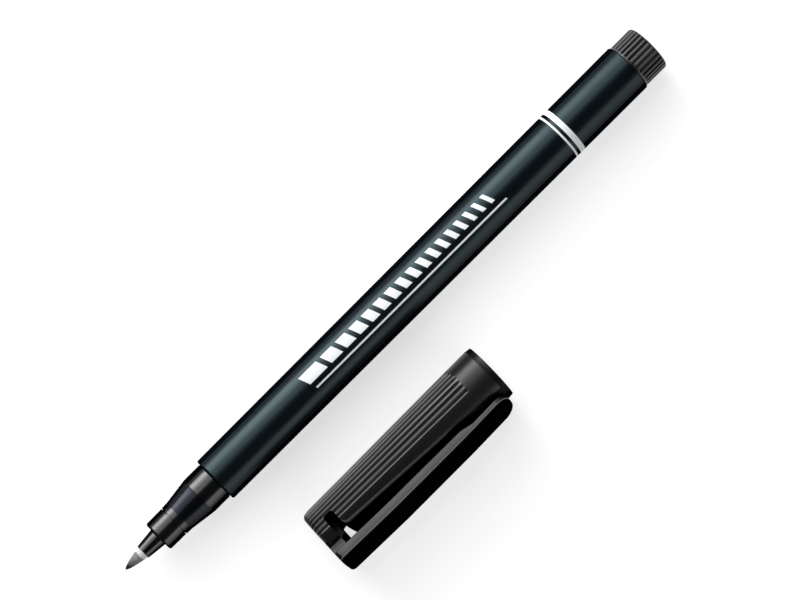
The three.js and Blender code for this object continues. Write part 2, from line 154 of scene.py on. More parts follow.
@dataclass(frozen=True)
class MouldedPlastic:
    """A plain thermoplastic moulding.

    Attributes:
        name: The material's name.
        colour: Body colour, as sRGB hex.
        roughness: Mean roughness of the surface that the tool left.
        level: Specular level, where 0.5 is what the IOR gives by itself.
        grain_mm: Size of the tool's texture.
        grain_height_mm: Height of that texture.
        grain_tone: How much paler the body is where the texture stands proud, as a share.
        roughness_spread: How far the roughness wanders to each side of it.
        flow_mm: Size of the soft patches that cooling leaves.
        ior: Index of refraction.
        tint: Tint of the gloss, as sRGB hex.
        rim_level: Specular level where the surface turns away from the eye.
        rim_turn: How far it has turned, 0 facing and 1 edge-on, where the gloss starts and ends its fall.
    """

    name: str
    colour: str
    roughness: float
    level: float
    grain_mm: float
    grain_height_mm: float
    grain_tone: float = 0.15
    roughness_spread: float = 0.03
    flow_mm: float = 6.0
    ior: float = 1.49
    tint: str = "#ffffff"
    rim_level: float = 0.0
    rim_turn: tuple[float, float] = (0.15, 0.5)

    def material(self) -> bpy.types.Material:
        """Builds the material: a dark body, a fine tool texture and slow patches in its gloss.

        Returns:
            The new material.
        """
        made, shader = start_material(self.name)
        tree = made.node_tree
        place = add_node(tree, "TexCoord").outputs["Object"]
        flow = add_node(tree, "TexNoise", Vector=place, Scale=1 / (self.flow_mm * MM), Detail=2.0)
        grain = add_node(tree, "TexNoise", Vector=place, Scale=1 / (self.grain_mm * MM), Detail=3.0)
        low = self.roughness - self.roughness_spread
        high = self.roughness + self.roughness_spread
        gloss = add_node(tree, "MapRange", Value=flow, **NOISE_REACH, To_Min=low, To_Max=high)
        level = self.level
        if self.rim_level < self.level:
            turned = add_node(tree, "LayerWeight", Blend=0.5).outputs["Facing"]
            fall = {"From_Min": self.rim_turn[0], "From_Max": self.rim_turn[1]}
            level = add_node(
                tree, "MapRange", Value=turned, **fall, To_Min=self.level, To_Max=self.rim_level
            )
        height = self.paint(tree, shader, place, grain)
        bump = add_node(tree, "Bump", Strength=1.0, Distance=self.grain_height_mm * MM, Height=height)
        plug_in(
            shader,
            IOR=self.ior,
            Roughness=gloss,
            Specular_IOR_Level=level,
            Specular_Tint=hex_to_linear(self.tint),
            Normal=bump,
        )
        return made

    def paint(
        self,
        tree: bpy.types.NodeTree,
        shader: bpy.types.Node,
        place: bpy.types.NodeSocket,
        grain: bpy.types.Node,
    ) -> bpy.types.Node:
        """Colours the body, a shade lighter where the texture stands proud.

        Args:
            tree: The material's node tree.
            shader: Its principled shader.
            place: The point's place on the object; not used here.
            grain: The tool texture.

        Returns:
            The node whose value is the surface's height, in units of the texture's own height.
        """
        reach = {"To_Min": 1 - self.grain_tone, "To_Max": 1 + self.grain_tone}
        tone = add_node(tree, "MapRange", Value=grain, **NOISE_REACH, **reach)
        body = hex_to_linear(self.colour)[:3]
        colour = add_node(tree, "VectorMath", {"operation": "SCALE"}, i0=body, Scale=tone)
        plug_in(shader, Base_Color=colour)
        return grain


@dataclass(frozen=True)
class PrintedPlastic(MouldedPlastic):
    """A round moulding along X with a plain screen print of bars, a stripe and two rings.

    Attributes:
        start: A point on the axis from which the print is measured, in metres.
        radius_mm: Radius of the surface under the print.
        ink: Colour of the ink, as sRGB hex.
        ink_height: Thickness of the ink, in units of the tool texture's height.
        bars_mm: Where the row of bars starts and ends along X.
        bar_count: Bars in the row, each thinner than the one before.
        bar_crowding: Power by which the bars crowd towards the row's end.
        bar_fill: Share of its own pitch that the first bar fills, and the last.
        bar_height_mm: Height of the bars, round the surface.
        bar_turn_deg: Angle of the row's middle from straight up, towards +Y.
        bar_slant: How far a bar leans along X for each millimetre of its height.
        stripe_turn_deg: Angle of the thin stripe.
        stripe_width_mm: Width of the stripe.
        rings_mm: Middle and half width of each ring along X.
    """

    start: Point = (0.0, 0.0, 0.0)
    radius_mm: float = 4.4
    ink: str = "#f1f4f5"
    ink_height: float = 4.0
    bars_mm: tuple[float, float] = (22.0, 66.0)
    bar_count: int = 17
    bar_crowding: float = 1.3
    bar_fill: tuple[float, float] = (0.8, 0.38)
    bar_height_mm: float = 2.2
    bar_turn_deg: float = 15.0
    bar_slant: float = 0.35
    stripe_turn_deg: float = -14.0
    stripe_width_mm: float = 0.34
    rings_mm: tuple[tuple[float, float], ...] = ((80.0, 0.19), (81.3, 0.5))

    def paint(
        self,
        tree: bpy.types.NodeTree,
        shader: bpy.types.Node,
        place: bpy.types.NodeSocket,
        grain: bpy.types.Node,
    ) -> bpy.types.Node:
        """Colours the body and lays the ink over it.

        Args:
            tree: The material's node tree.
            shader: Its principled shader.
            place: The point's place on the object.
            grain: The tool texture.

        Returns:
            The node whose value is the height with the ink, in units of the texture's own height.
        """
        super().paint(tree, shader, place, grain)
        body = shader.inputs["Base Color"].links[0].from_socket
        ink = self.inked(tree, place)
        both = add_node(tree, "Mix", {"data_type": "RGBA"}, i0=ink, i6=body, i7=hex_to_linear(self.ink))
        plug_in(shader, Base_Color=both.outputs[2])
        return add_node(tree, "Math", {"operation": "MULTIPLY_ADD"}, i0=ink, i1=self.ink_height, i2=grain)

    def inked(self, tree: bpy.types.NodeTree, place: bpy.types.NodeSocket) -> bpy.types.Node:
        """Where the ink is.

        Args:
            tree: The material's node tree.
            place: The point's place on the object.

        Returns:
            The node whose value is 1 on the print and 0 beside it.
        """
        local = add_node(tree, "VectorMath", {"operation": "SUBTRACT"}, i0=place, i1=self.start)
        parts = add_node(tree, "SeparateXYZ", Vector=local).outputs
        along = add_node(tree, "Math", {"operation": "MULTIPLY"}, i0=parts["X"], i1=1 / MM)
        angle = add_node(tree, "Math", {"operation": "ARCTAN2"}, i0=parts["Y"], i1=parts["Z"])
        across = add_node(tree, "Math", {"operation": "MULTIPLY"}, i0=angle, i1=self.radius_mm)

        # How far along the row a place is, from 0 to 1, and which share of a bar's pitch it has reached
        first, last = self.bars_mm
        scale = 1 / (last - first)
        lean = add_node(tree, "Math", {"operation": "MULTIPLY_ADD"}, i0=across, i1=self.bar_slant, i2=along)
        share = add_node(tree, "Math", {"operation": "MULTIPLY_ADD"}, i0=lean, i1=scale, i2=-first * scale)
        crowded = add_node(tree, "Math", {"operation": "POWER"}, i0=share, i1=self.bar_crowding)
        phase = add_node(tree, "Math", {"operation": "MULTIPLY"}, i0=crowded, i1=self.bar_count)
        reached = add_node(tree, "Math", {"operation": "FRACT"}, i0=phase)

        wide, narrow = self.bar_fill
        fill = add_node(tree, "Math", {"operation": "MULTIPLY_ADD"}, i0=share, i1=narrow - wide, i2=wide)
        bar = add_node(tree, "Math", {"operation": "LESS_THAN"}, i0=reached, i1=fill)
        middle = math.radians(self.bar_turn_deg) * self.radius_mm
        half = self.bar_height_mm / 2
        row = add_node(tree, "Math", {"operation": "COMPARE"}, i0=across, i1=middle, i2=half)
        bars = add_node(tree, "Math", {"operation": "MULTIPLY"}, i0=bar, i1=row)
        middle = math.radians(self.stripe_turn_deg) * self.radius_mm
        half = self.stripe_width_mm / 2
        stripe = add_node(tree, "Math", {"operation": "COMPARE"}, i0=across, i1=middle, i2=half)
        both = add_node(tree, "Math", {"operation": "MAXIMUM"}, i0=bars, i1=stripe)
        in_row = add_node(tree, "Math", {"operation": "COMPARE"}, i0=share, i1=0.5, i2=0.5)
        ink = add_node(tree, "Math", {"operation": "MULTIPLY"}, i0=both, i1=in_row)
        for middle, half in self.rings_mm:
            ring = add_node(tree, "Math", {"operation": "COMPARE"}, i0=along, i1=middle, i2=half)
            ink = add_node(tree, "Math", {"operation": "MAXIMUM"}, i0=ink, i1=ring)
        return ink


# ABS, black, from a polished tool: clear bright bands with a firm edge
NOSE_PLASTIC = MouldedPlastic(
    name="abs_polished_black",
    colour="#030304",
    roughness=0.2,
    level=0.6,
    grain_mm=0.4,
    grain_height_mm=0.001,
    ior=1.54,
    rim_turn=(0.15, 0.4),
)

# The same ABS on the cone, as a shaded copy: painted shade, by a weaker gloss, dims its bands, and a
# painted cool reflection tints them and the body
CONE_PLASTIC = MouldedPlastic(
    name="abs_black_cone_painted_dim_cool_gloss",
    colour="#040508",
    roughness=0.24,
    level=0.25,
    grain_mm=0.15,
    grain_height_mm=0.002,
    ior=1.54,
    tint="#dfeaff",
)

# Polypropylene, black, from a spark-eroded tool: a fine grain, and each rib catches the light
RIB_PLASTIC = MouldedPlastic(
    name="polypropylene_fine_matt_black",
    colour="#1a1a1a",
    roughness=0.35,
    level=0.75,
    grain_mm=0.16,
    grain_height_mm=0.004,
    rim_level=0.75,
)

# The same polypropylene deep in the grooves, as a shaded copy: painted shade, darker and with less gloss,
# draws dark lines between the ribs
GROOVE_PLASTIC = MouldedPlastic(
    name="polypropylene_groove_painted_shade",
    colour="#0e0e0e",
    roughness=0.5,
    level=0.2,
    grain_mm=0.16,
    grain_height_mm=0.004,
    rim_level=0.2,
)

# Polypropylene, black, from a smooth tool: a soft highlight over a dark grey body
SMOOTH_PLASTIC = MouldedPlastic(
    name="polypropylene_smooth_black",
    colour="#181818",
    roughness=0.34,
    level=0.34,
    grain_mm=0.2,
    grain_height_mm=0.002,
    rim_level=0.22,
    rim_turn=(0.2, 0.5),
)

# The same polypropylene on the clip and on the recess's floor, as a shaded copy: a near-black body, painted
# shade
SHADED_PLASTIC = MouldedPlastic(
    name="polypropylene_black_painted_shade",
    colour="#040404",
    roughness=0.34,
    level=0.27,
    grain_mm=0.2,
    grain_height_mm=0.002,
    rim_turn=(0.2, 0.42),
)

# The same polypropylene on the lip at the mouth, as a shaded copy: a darker body and a weaker gloss,
# painted shade
RIM_PLASTIC = MouldedPlastic(
    name="polypropylene_rim_painted_shade",
    colour="#0e0e0e",
    roughness=0.36,
    level=0.3,
    grain_mm=0.2,
    grain_height_mm=0.002,
    rim_turn=(0.2, 0.5),
)

# The same polypropylene along thin edges, as a lit copy: a paler line beside the recess and the clip, a
# painted highlight
EDGE_PLASTIC = MouldedPlastic(
    name="polypropylene_edge_painted_highlight",
    colour="#606060",
    roughness=0.4,
    roughness_spread=0.04,
    level=0.45,
    grain_mm=0.12,
    grain_height_mm=0.003,
    rim_level=0.2,
)

# The same polypropylene as a shaded copy, nearly black with little gloss: painted shade in the bore, in the
# slot, on the block's flare and neck, along part of the recess's edge, round the mouth under the clip and
# on the clip's inner edge
SHADOW_PLASTIC = MouldedPlastic(
    name="polypropylene_black_painted_deep_shade",
    colour="#060606",
    roughness=0.55,
    roughness_spread=0.04,
    level=0.12,
    grain_mm=0.2,
    grain_height_mm=0.004,
)

# Polyethylene, black, from a plain tool: soft and a little waxy
LINER_PLASTIC = MouldedPlastic(
    name="polyethylene_plain_black",
    colour="#101011",
    roughness=0.42,
    roughness_spread=0.04,
    level=0.4,
    grain_mm=0.3,
    grain_height_mm=0.003,
    ior=1.51,
)

# Polyester film: thin, clear and smooth
FILM_PLASTIC = MouldedPlastic(
    name="polyester_film_clear",
    colour="#d5dadb",
    roughness=0.25,
    level=0.5,
    grain_mm=1.5,
    grain_height_mm=0.004,
    ior=1.57,
)


@dataclass(frozen=True)
class BondedFibre:
    """Polyester fibre bonded into a rod, ground to a point and stained by its ink.

    Attributes:
        name: The material's name.
        dry: Colour of clean fibre, as sRGB hex.
        damp: Colour where a little ink has crept, as sRGB hex.
        inked: Colour of fibre full of ink, as sRGB hex.
        fibre_mm: Width of the fibre bundles, drawn coarser than real fibres so that they show.
        fibre_run: How many times longer than wide a bundle is.
        ends: Where along X, in metres, the ink is full, where it has thinned, where it last shows.
        damp_until: Share of the way from thinned ink to the last of it over which the fibre stays damp.
        blot_mm: Size of the patches by which the ink's edge wanders.
        creep_mm: How far it wanders.
        fibre_height_mm: Height of the bundles.
        shade: Tone of the fibre between the bundles, and on them.
        roughness: Its roughness.
        ior: Index of refraction.
        level: Specular level, where 0.5 is what the IOR gives by itself.
    """

    name: str
    dry: str
    damp: str
    inked: str
    fibre_mm: float
    fibre_run: float
    ends: tuple[float, float, float]
    damp_until: float = 0.75
    blot_mm: float = 0.7
    creep_mm: float = 0.5
    fibre_height_mm: float = 0.02
    shade: tuple[float, float] = (0.66, 1.14)
    roughness: float = 0.72
    ior: float = 1.5
    level: float = 0.35

    def material(self) -> bpy.types.Material:
        """Builds the material: ink that fades along the rod, over fine lengthwise streaks.

        Returns:
            The new material.
        """
        made, shader = start_material(self.name)
        tree = made.node_tree
        place = add_node(tree, "TexCoord").outputs["Object"]
        across = 1 / (self.fibre_mm * MM)
        scale = (across / self.fibre_run, across, across)
        stretched = add_node(tree, "VectorMath", {"operation": "MULTIPLY"}, i0=place, i1=scale)
        fibres = add_node(tree, "TexNoise", Vector=stretched, Scale=1.0, Detail=3.0)
        blot = add_node(tree, "TexNoise", Vector=place, Scale=1 / (self.blot_mm * MM), Detail=2.0)
        along = add_node(tree, "SeparateXYZ", Vector=place).outputs["X"]
        creep = self.creep_mm * MM
        edge = add_node(tree, "Math", {"operation": "MULTIPLY_ADD"}, i0=blot, i1=creep, i2=along)
        full, thinned, last = self.ends
        fade = add_node(tree, "MapRange", Value=edge, From_Min=full, From_Max=last)
        ramp = add_node(tree, "ValToRGB", Fac=fade)
        middle = (thinned - full) / (last - full)
        stops = ramp.color_ramp.elements
        stops[0].color = hex_to_linear(self.inked)
        stops[1].color = hex_to_linear(self.dry)
        for share in (middle, middle + self.damp_until * (1 - middle)):
            stops.new(share).color = hex_to_linear(self.damp)
        reach = {"From_Min": 0.35, "From_Max": 0.65, "To_Min": self.shade[0], "To_Max": self.shade[1]}
        streaks = add_node(tree, "MapRange", Value=fibres, **reach)
        colour = add_node(tree, "VectorMath", {"operation": "SCALE"}, i0=ramp, Scale=streaks)
        bump = add_node(tree, "Bump", Strength=0.6, Distance=self.fibre_height_mm * MM, Height=fibres)
        plug_in(shader, Base_Color=colour, Roughness=self.roughness, IOR=self.ior, Normal=bump)
        plug_in(shader, Specular_IOR_Level=self.level)
        return made


class Sketch:
    """A closed mesh that is drawn as rings of points and the skins between them."""

    def __init__(self) -> None:
        """Starts with nothing drawn."""
        self.points: list[Point] = []
        self.faces: list[tuple[int, ...]] = []
        self.zones: list[int] = []

    def ring(self, points: Iterable[Point]) -> list[int]:
        """Adds points to the mesh.

        Args:
            points: Their places in millimetres.

        Returns:
            Their numbers.
        """
        first = len(self.points)
        self.points.extend(points)
        return list(range(first, len(self.points)))

    def circle(self, x: float, radii: Iterable[float], angles: Iterable[float]) -> list[int]:
        """Adds a ring round the axis, with a radius for each angle from +z, and returns its numbers."""
        return self.ring([(x, r * math.sin(a), r * math.cos(a)) for r, a in zip(radii, angles)])

    def face(self, corners: Sequence[int], zone: int = 0) -> None:
        """Adds one face, with the number of the finish that it takes."""
        self.faces.append(tuple(corners))
        self.zones.append(zone)

    def skin(self, before: Sequence[int], after: Sequence[int], zones: Sequence[int] = (0,)) -> None:
        """Joins two rings of one length with four-sided faces, or a ring to a single point.

        Args:
            before: The ring nearer the start of the piece.
            after: The next ring, or one point.
            zones: The finish's number for each face round the ring, or one number for all of them.
        """
        count = max(len(before), len(after))
        for i in range(count):
            j = (i + 1) % count
            zone = zones[i % len(zones)]
            if len(after) == 1:
                self.face((before[i], before[j], after[0]), zone)
            elif len(before) == 1:
                self.face((before[0], after[j], after[i]), zone)
            else:
                self.face((before[i], before[j], after[j], after[i]), zone)

    def build(self, name: str, placement: Matrix, *finishes: bpy.types.Material) -> bpy.types.Object:
        """Makes the object, with its faces turned out and points that coincide joined.

        Args:
            name: The object's name.
            placement: Takes millimetres in the piece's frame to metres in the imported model's frame.
            finishes: Its materials, in the order of their numbers.

        Returns:
            The new object, at the origin with its place in its mesh.
        """
        mesh = bpy.data.meshes.new(name)
        mesh.from_pydata([placement @ Vector(p) for p in self.points], [], self.faces)
        for finish in finishes:
            mesh.materials.append(finish)
        mesh.polygons.foreach_set("material_index", self.zones)
        work = bmesh.new()
        work.from_mesh(mesh)
        bmesh.ops.remove_doubles(work, verts=work.verts, dist=0.002 * MM)
        bmesh.ops.recalc_face_normals(work, faces=work.faces)
        work.to_mesh(mesh)
        work.free()
        made = bpy.data.objects.new(name, mesh)
        bpy.context.scene.collection.objects.link(made)
        return made


def smooth(piece: bpy.types.Object, sharp_deg: float = 38.0) -> None:
    """Shades a piece smooth, except across edges that turn more than an angle.

    Args:
        piece: The object.
        sharp_deg: The turn from which an edge stays sharp.
    """
    piece.data.shade_smooth()
    piece.data.set_sharp_from_angle(angle=math.radians(sharp_deg))


def arc(x: float, radius: float, size: float, start: float, end: float, steps: int = 8) -> Outline:
    """Points of an arc on an outline.

    Args:
        x: Place of the arc's centre along the axis.
        radius: Distance of its centre from the axis.
        size: The arc's own radius.
        start: First angle in degrees, from the axis's direction towards the outside.
        end: Last angle.
        steps: Number of straight steps.

    Returns:
        The points from start to end.
    """
    angles = [math.radians(start + (end - start) * i / steps) for i in range(steps + 1)]
    return [(x + size * math.cos(a), radius + size * math.sin(a)) for a in angles]


def front_edge(x: float, radius: float, size: float) -> Outline:
    """A rounded corner between a face that looks to -x and the outside."""
    return arc(x + size, radius - size, size, 180, 90)


def rear_edge(x: float, radius: float, size: float) -> Outline:
    """A rounded corner between the outside and a face that looks to +x."""
    return arc(x - size, radius - size, size, 90, 0)


def smoothstep(value: float) -> float:
    """Eases a value from 0 to 1, flat at both ends."""
    held = min(max(value, 0.0), 1.0)
    return held * held * (3 - 2 * held)


def read_off(knots: Sequence[tuple[float, float]], x: float) -> float:
    """Reads a value on the straight lines between knots.

    Args:
        knots: Pairs of (x, value), with x rising. Beyond the ends their own values hold.
        x: Where it is read.

    Returns:
        The value there.
    """
    if x <= knots[0][0]:
        return knots[0][1]
    for (x0, v0), (x1, v1) in zip(knots, knots[1:]):
        if x <= x1:
            return v0 + (v1 - v0) * (x - x0) / (x1 - x0)
    return knots[-1][1]


@dataclass(frozen=True)
class Grooves:
    """Lengthwise grooves round a grip.

    Attributes:
        count: Grooves in a whole turn.
        depth: Depth below the surface.
        half_width: Half the width at half the depth.
        wall: Width over which a wall falls.
        smooth_half_angle: Degrees to each side of +z where there is none.
        turn_deg: How far the grooves are turned from +z.
        shade_limit: Share of the depth from which a wall takes painted shade.
        steps: Steps of the mesh from one groove to the next.
    """

    count: int
    depth: float
    half_width: float
    wall: float
    smooth_half_angle: float = 0.0
    turn_deg: float = 0.0
    shade_limit: float = 0.5
    steps: int = 16

    def cut(self, radius: float, angle: float) -> float:
        """How deep the grip is cut at a place.

        Args:
            radius: Outer radius there.
            angle: Angle from +z in radians.

        Returns:
            The depth in millimetres.
        """
        pitch = 2 * math.pi / self.count
        turn = math.radians(self.turn_deg)
        nearest = round((angle - turn) / pitch) * pitch + turn
        if abs(math.remainder(nearest, 2 * math.pi)) < math.radians(self.smooth_half_angle):
            return 0.0
        away = abs(angle - nearest) * radius
        return self.depth * smoothstep(0.5 + (self.half_width - away) / self.wall)

    def step(self) -> float:
        """The angle of one step of the mesh, in radians."""
        return 2 * math.pi / self.count / self.steps

    def shaded(self, radius: float, angle: float) -> bool:
        """Whether a place lies deep enough in a groove to take painted shade."""
        return self.cut(radius, angle) > self.shade_limit * self.depth


def turned_piece(
    name: str,
    outline: Outline,
    placement: Matrix,
    *finishes: bpy.types.Material,
    segments: int = 160,
    relief: Callable[[float, float, float], float] | None = None,
    zone: Callable[[int, float], int] | None = None,
) -> bpy.types.Object:
    """Turns an outline round the x axis.

    Args:
        name: The object's name.
        outline: Points of (x, radius), either from axis to axis or round a closed loop.
        placement: The assembly's placement.
        finishes: Its materials.
        segments: Steps round the axis.
        relief: The radius at (x, radius, angle), where it isn't the outline's own.
        zone: The finish's number at (step of the outline, angle), where it isn't 0.

    Returns:
        The new object.
    """
    sketch = Sketch()
    angles = [2 * math.pi * i / segments for i in range(segments)]
    rings = []
    for x, radius in outline:
        if radius == 0.0:
            rings.append(sketch.ring([(x, 0.0, 0.0)]))
            continue
        radii = [relief(x, radius, a) if relief else radius for a in angles]
        rings.append(sketch.circle(x, radii, angles))
    following = rings[1:] if outline[0][1] == 0.0 else rings[1:] + rings[:1]
    half_step = math.pi / segments
    for step, (before, after) in enumerate(zip(rings, following)):
        sketch.skin(before, after, [zone(step, a + half_step) for a in angles] if zone else [0])
    made = sketch.build(name, placement, *finishes)
    smooth(made)
    return made


def combine(piece: bpy.types.Object, tool: bpy.types.Object, operation: str) -> None:
    """Joins a tool to a piece or cuts it out, and removes the tool.

    Args:
        piece: The object that changes.
        tool: The object that is used up.
        operation: UNION or DIFFERENCE.
    """
    step = piece.modifiers.new(operation.lower(), "BOOLEAN")
    step.operation = operation
    step.solver = "MANIFOLD"
    step.object = tool
    graph = bpy.context.evaluated_depsgraph_get()
    piece.data = bpy.data.meshes.new_from_object(piece.evaluated_get(graph))
    piece.modifiers.clear()
    bpy.data.objects.remove(tool)


def mount(piece: bpy.types.Object, body: Body, slot: Slot) -> None:
    """Gives a new piece its body, in the place of the node of its name.

    Args:
        piece: The object, named fine_ and the node's name.
        body: The body that it rides on.
        slot: The record's material slot; not used.
    """
    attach(piece, body.value)
    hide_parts(piece.name.removeprefix("fine_"))
    log.info("%s rides on %s, %d faces", piece.name, body.value, len(piece.data.polygons))


def redress_node(name: str, finish: bpy.types.Material) -> None:
    """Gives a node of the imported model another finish.

    Args:
        name: The node's name.
        finish: Its new material.
    """
    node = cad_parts[name]
    node.data.materials.clear()
    node.data.materials.append(finish)
    log.info("%s keeps its packed shape", name)


@dataclass
class Pen:
    """The pen without its cap: barrel, nose, nib and end plug.

    Its frame starts at the barrel's front shoulder, on the axis.
    """

    barrel_length: float = 96.4
    barrel_front_radius: float = 4.26
    barrel_rear_radius: float = 4.51
    shoulder_edge: float = 0.35
    barrel_rear_edge: float = 0.15
    bore_radius: float = 3.5
    spigot_seat_radius: float = 3.3
    plug_seat_radius: float = 3.7
    plug_seat_room: float = 1.0

    nose_length: float = 9.4
    nose_front_radius: float = 2.93
    nose_front_edge: float = 0.04
    nose_ring_radius: float = 2.97
    nose_ring_length: float = 1.05
    nose_rear_radius: float = 3.59
    nose_rear_length: float = 3.66
    nose_rear_chamfer: float = 0.16
    cone_step: float = 0.02
    cone_step_run: float = 0.05
    cone_rear_ease: float = 0.06
    spigot_length: float = 8.5
    holder_bore_radius: float = 2.0
    holder_bore_depth: float = 5.0

    collar_radius: float = 2.87
    collar_length: float = 3.4
    collar_edge: float = 0.4
    collar_bead: float = 0.02
    collar_bead_edge: float = 0.03
    seam_width: float = 0.33
    seam_gap: float = 0.11
    seam_depth: float = 0.25
    stem_room: float = 0.3
    ferrule_length: float = 3.48
    ferrule_front_radius: float = 1.31
    ferrule_rear_radius: float = 1.67
    ferrule_edge: float = 0.06
    ferrule_fillet: float = 0.12
    ferrule_rear_step: float = 0.012

    nib_radius: float = 1.17
    nib_point_length: float = 4.0
    nib_point_curve: float = 0.58
    nib_point_steps: int = 24
    nib_rear: float = 13.8
    # From the nib's tip: where the ink is full, where it has thinned, where it last shows
    nib_ink: tuple[float, float, float] = (0.9, 2.5, 3.55)

    plug_radius: float = 4.3
    plug_length: float = 4.95
    plug_edge: float = 0.55
    plug_front_edge: float = 0.1
    plug_skirt_length: float = 6.0
    plug_hollow_radius: float = 2.77
    plug_hollow_in_head: float = 3.4
    plug_collar_length: float = 0.3
    # Past the collar: how far the grooves take to reach their depth, and from where their deep parts take
    # painted shade
    plug_run_in: float = 0.25
    plug_shade_after: float = 0.12
    plug_grooves: Grooves = Grooves(
        count=30, depth=0.22, half_width=0.21, wall=0.38, turn_deg=-1.8, shade_limit=0.4
    )
    fit: float = 0.03

    def placement(self) -> Matrix:
        """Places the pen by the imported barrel.

        Returns:
            The matrix from millimetres at the barrel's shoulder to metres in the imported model's frame.
        """
        low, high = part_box("barrel")
        middle = (low + high) / 2
        return Matrix.Translation((low.x, middle.y, middle.z)) @ Matrix.Scale(MM, 4)

    def ferrule_front(self) -> float:
        """Where the ferrule ends and the bare nib begins."""
        return -self.nose_length - self.seam_width - self.collar_length - self.ferrule_length

    def printed(self) -> bpy.types.Material:
        """Builds the barrel's finish, with its print measured from the shoulder.

        Returns:
            The new material.
        """
        # Polypropylene, blue-black, from a satin tool, with opaque white screen ink: a wide soft band of
        # light runs along it, and the print stands out of it
        finish = PrintedPlastic(
            name="polypropylene_satin_blue_black_printed",
            colour="#04080d",
            roughness=0.3,
            level=0.42,
            grain_mm=0.25,
            grain_height_mm=0.003,
            tint="#d3f7ff",
            rim_turn=(0.08, 0.46),
            start=tuple(self.placement().translation),
            radius_mm=(self.barrel_front_radius + self.barrel_rear_radius) / 2,
        )
        return finish.material()

    def barrel(self) -> bpy.types.Object:
        """Builds the long tapered tube.

        Returns:
            The new object.
        """
        length = self.barrel_length
        plug_seat = length - self.plug_skirt_length - self.plug_seat_room
        outline = [
            (0.0, self.nose_rear_radius + self.fit),
            *front_edge(0, self.barrel_front_radius, self.shoulder_edge),
            *rear_edge(length, self.barrel_rear_radius, self.barrel_rear_edge),
            (length, self.plug_seat_radius),
            (plug_seat, self.plug_seat_radius),
            (plug_seat, self.bore_radius),
            (self.spigot_length, self.bore_radius),
            (self.spigot_length, self.spigot_seat_radius),
            (0.0, self.spigot_seat_radius),
        ]
        return turned_piece("fine_barrel", outline, self.placement(), self.printed(), segments=192)

    def nose_section(self, polished: bpy.types.Material) -> bpy.types.Object:
        """Builds the cone between the nib holder and the barrel, with its spigot.

        Args:
            polished: The finish of all but the cone.

        Returns:
            The new object.
        """
        front = -self.nose_length
        ring_end = front + self.nose_ring_length
        cone_end = -self.nose_rear_length
        bore_end = front + self.holder_bore_depth
        chamfer = self.nose_rear_chamfer
        spigot = self.spigot_seat_radius - self.fit
        rod = self.nib_radius + self.fit
        cone_start = (ring_end + self.cone_step_run, self.nose_ring_radius - self.cone_step)
        outline = [
            (front, self.nose_front_radius - self.nose_front_edge),
            (front + self.nose_front_edge, self.nose_front_radius),
            (ring_end, self.nose_ring_radius),
            cone_start,
            (cone_end - self.cone_rear_ease, self.nose_rear_radius - self.cone_step),
            (cone_end + self.cone_rear_ease, self.nose_rear_radius),
            (-chamfer, self.nose_rear_radius),
            (0.0, self.nose_rear_radius - chamfer),
            (0.0, spigot),
            (self.spigot_length, spigot),
            (self.spigot_length, rod),
            (bore_end, rod),
            (bore_end, self.holder_bore_radius),
            (front, self.holder_bore_radius),
        ]
        cone = outline.index(cone_start)

        def zone(step: int, angle: float) -> int:
            """The shaded copy, with painted dim and cool bands, on the cone, and the polished finish
            elsewhere.
            """
            return int(step == cone)

        finishes = polished, CONE_PLASTIC.material()
        return turned_piece("fine_nose_section", outline, self.placement(), *finishes, zone=zone)

    def nib_holder(self, finish: bpy.types.Material) -> bpy.types.Object:
        """Builds the collar and the tapered ferrule, in one moulding.

        Args:
            finish: Its material.

        Returns:
            The new object.
        """
        nose = -self.nose_length
        collar = nose - self.seam_width - self.collar_length
        ferrule = self.ferrule_front()
        stem = self.holder_bore_radius - self.fit
        stem_end = nose + self.holder_bore_depth - self.stem_room
        rod = self.nib_radius + self.fit
        fillet = self.ferrule_fillet
        bead = self.collar_radius + self.collar_bead
        bead_end = nose - self.seam_gap
        seam_floor = self.collar_radius - self.seam_depth
        outline = [
            *front_edge(ferrule, self.ferrule_front_radius, self.ferrule_edge),
            (collar - fillet, self.ferrule_rear_radius - self.ferrule_rear_step),
            *arc(collar - fillet, self.ferrule_rear_radius + fillet, fillet, -90, 0, 4),
            *front_edge(collar, self.collar_radius, self.collar_edge),
            (bead_end - self.collar_bead_edge, bead),
            (bead_end, bead - self.collar_bead_edge),
            (bead_end, seam_floor),
            (nose, seam_floor),
            (nose, stem),
            (stem_end, stem),
            (stem_end, rod),
            (ferrule, rod),
        ]
        return turned_piece("fine_nib_holder", outline, self.placement(), finish)

    def nib(self) -> bpy.types.Object:
        """Builds the ground point of the nib and the rod behind it.

        Returns:
            The new object.
        """
        tip = self.ferrule_front() - self.nib_point_length
        start = (self.placement() @ Vector((tip, 0, 0))).x
        # Bonded polyester: matt, with lengthwise streaks, white at the ferrule and black at the point
        fibre = BondedFibre(
            name="polyester_fibre_nib",
            dry="#efe9e9",
            damp="#8a8a8a",
            inked="#060606",
            fibre_mm=0.14,
            fibre_run=12,
            ends=tuple(start + reach * MM for reach in self.nib_ink),
        )
        point = []
        for i in range(1, self.nib_point_steps + 1):
            along = (i / self.nib_point_steps) ** 2
            radius = self.nib_radius * along**self.nib_point_curve
            point.append((tip + self.nib_point_length * along, radius))
        outline = [(tip, 0.0), *point, (self.nib_rear, self.nib_radius), (self.nib_rear, 0.0)]
        return turned_piece("fine_nib", outline, self.placement(), fibre.material(), segments=96)

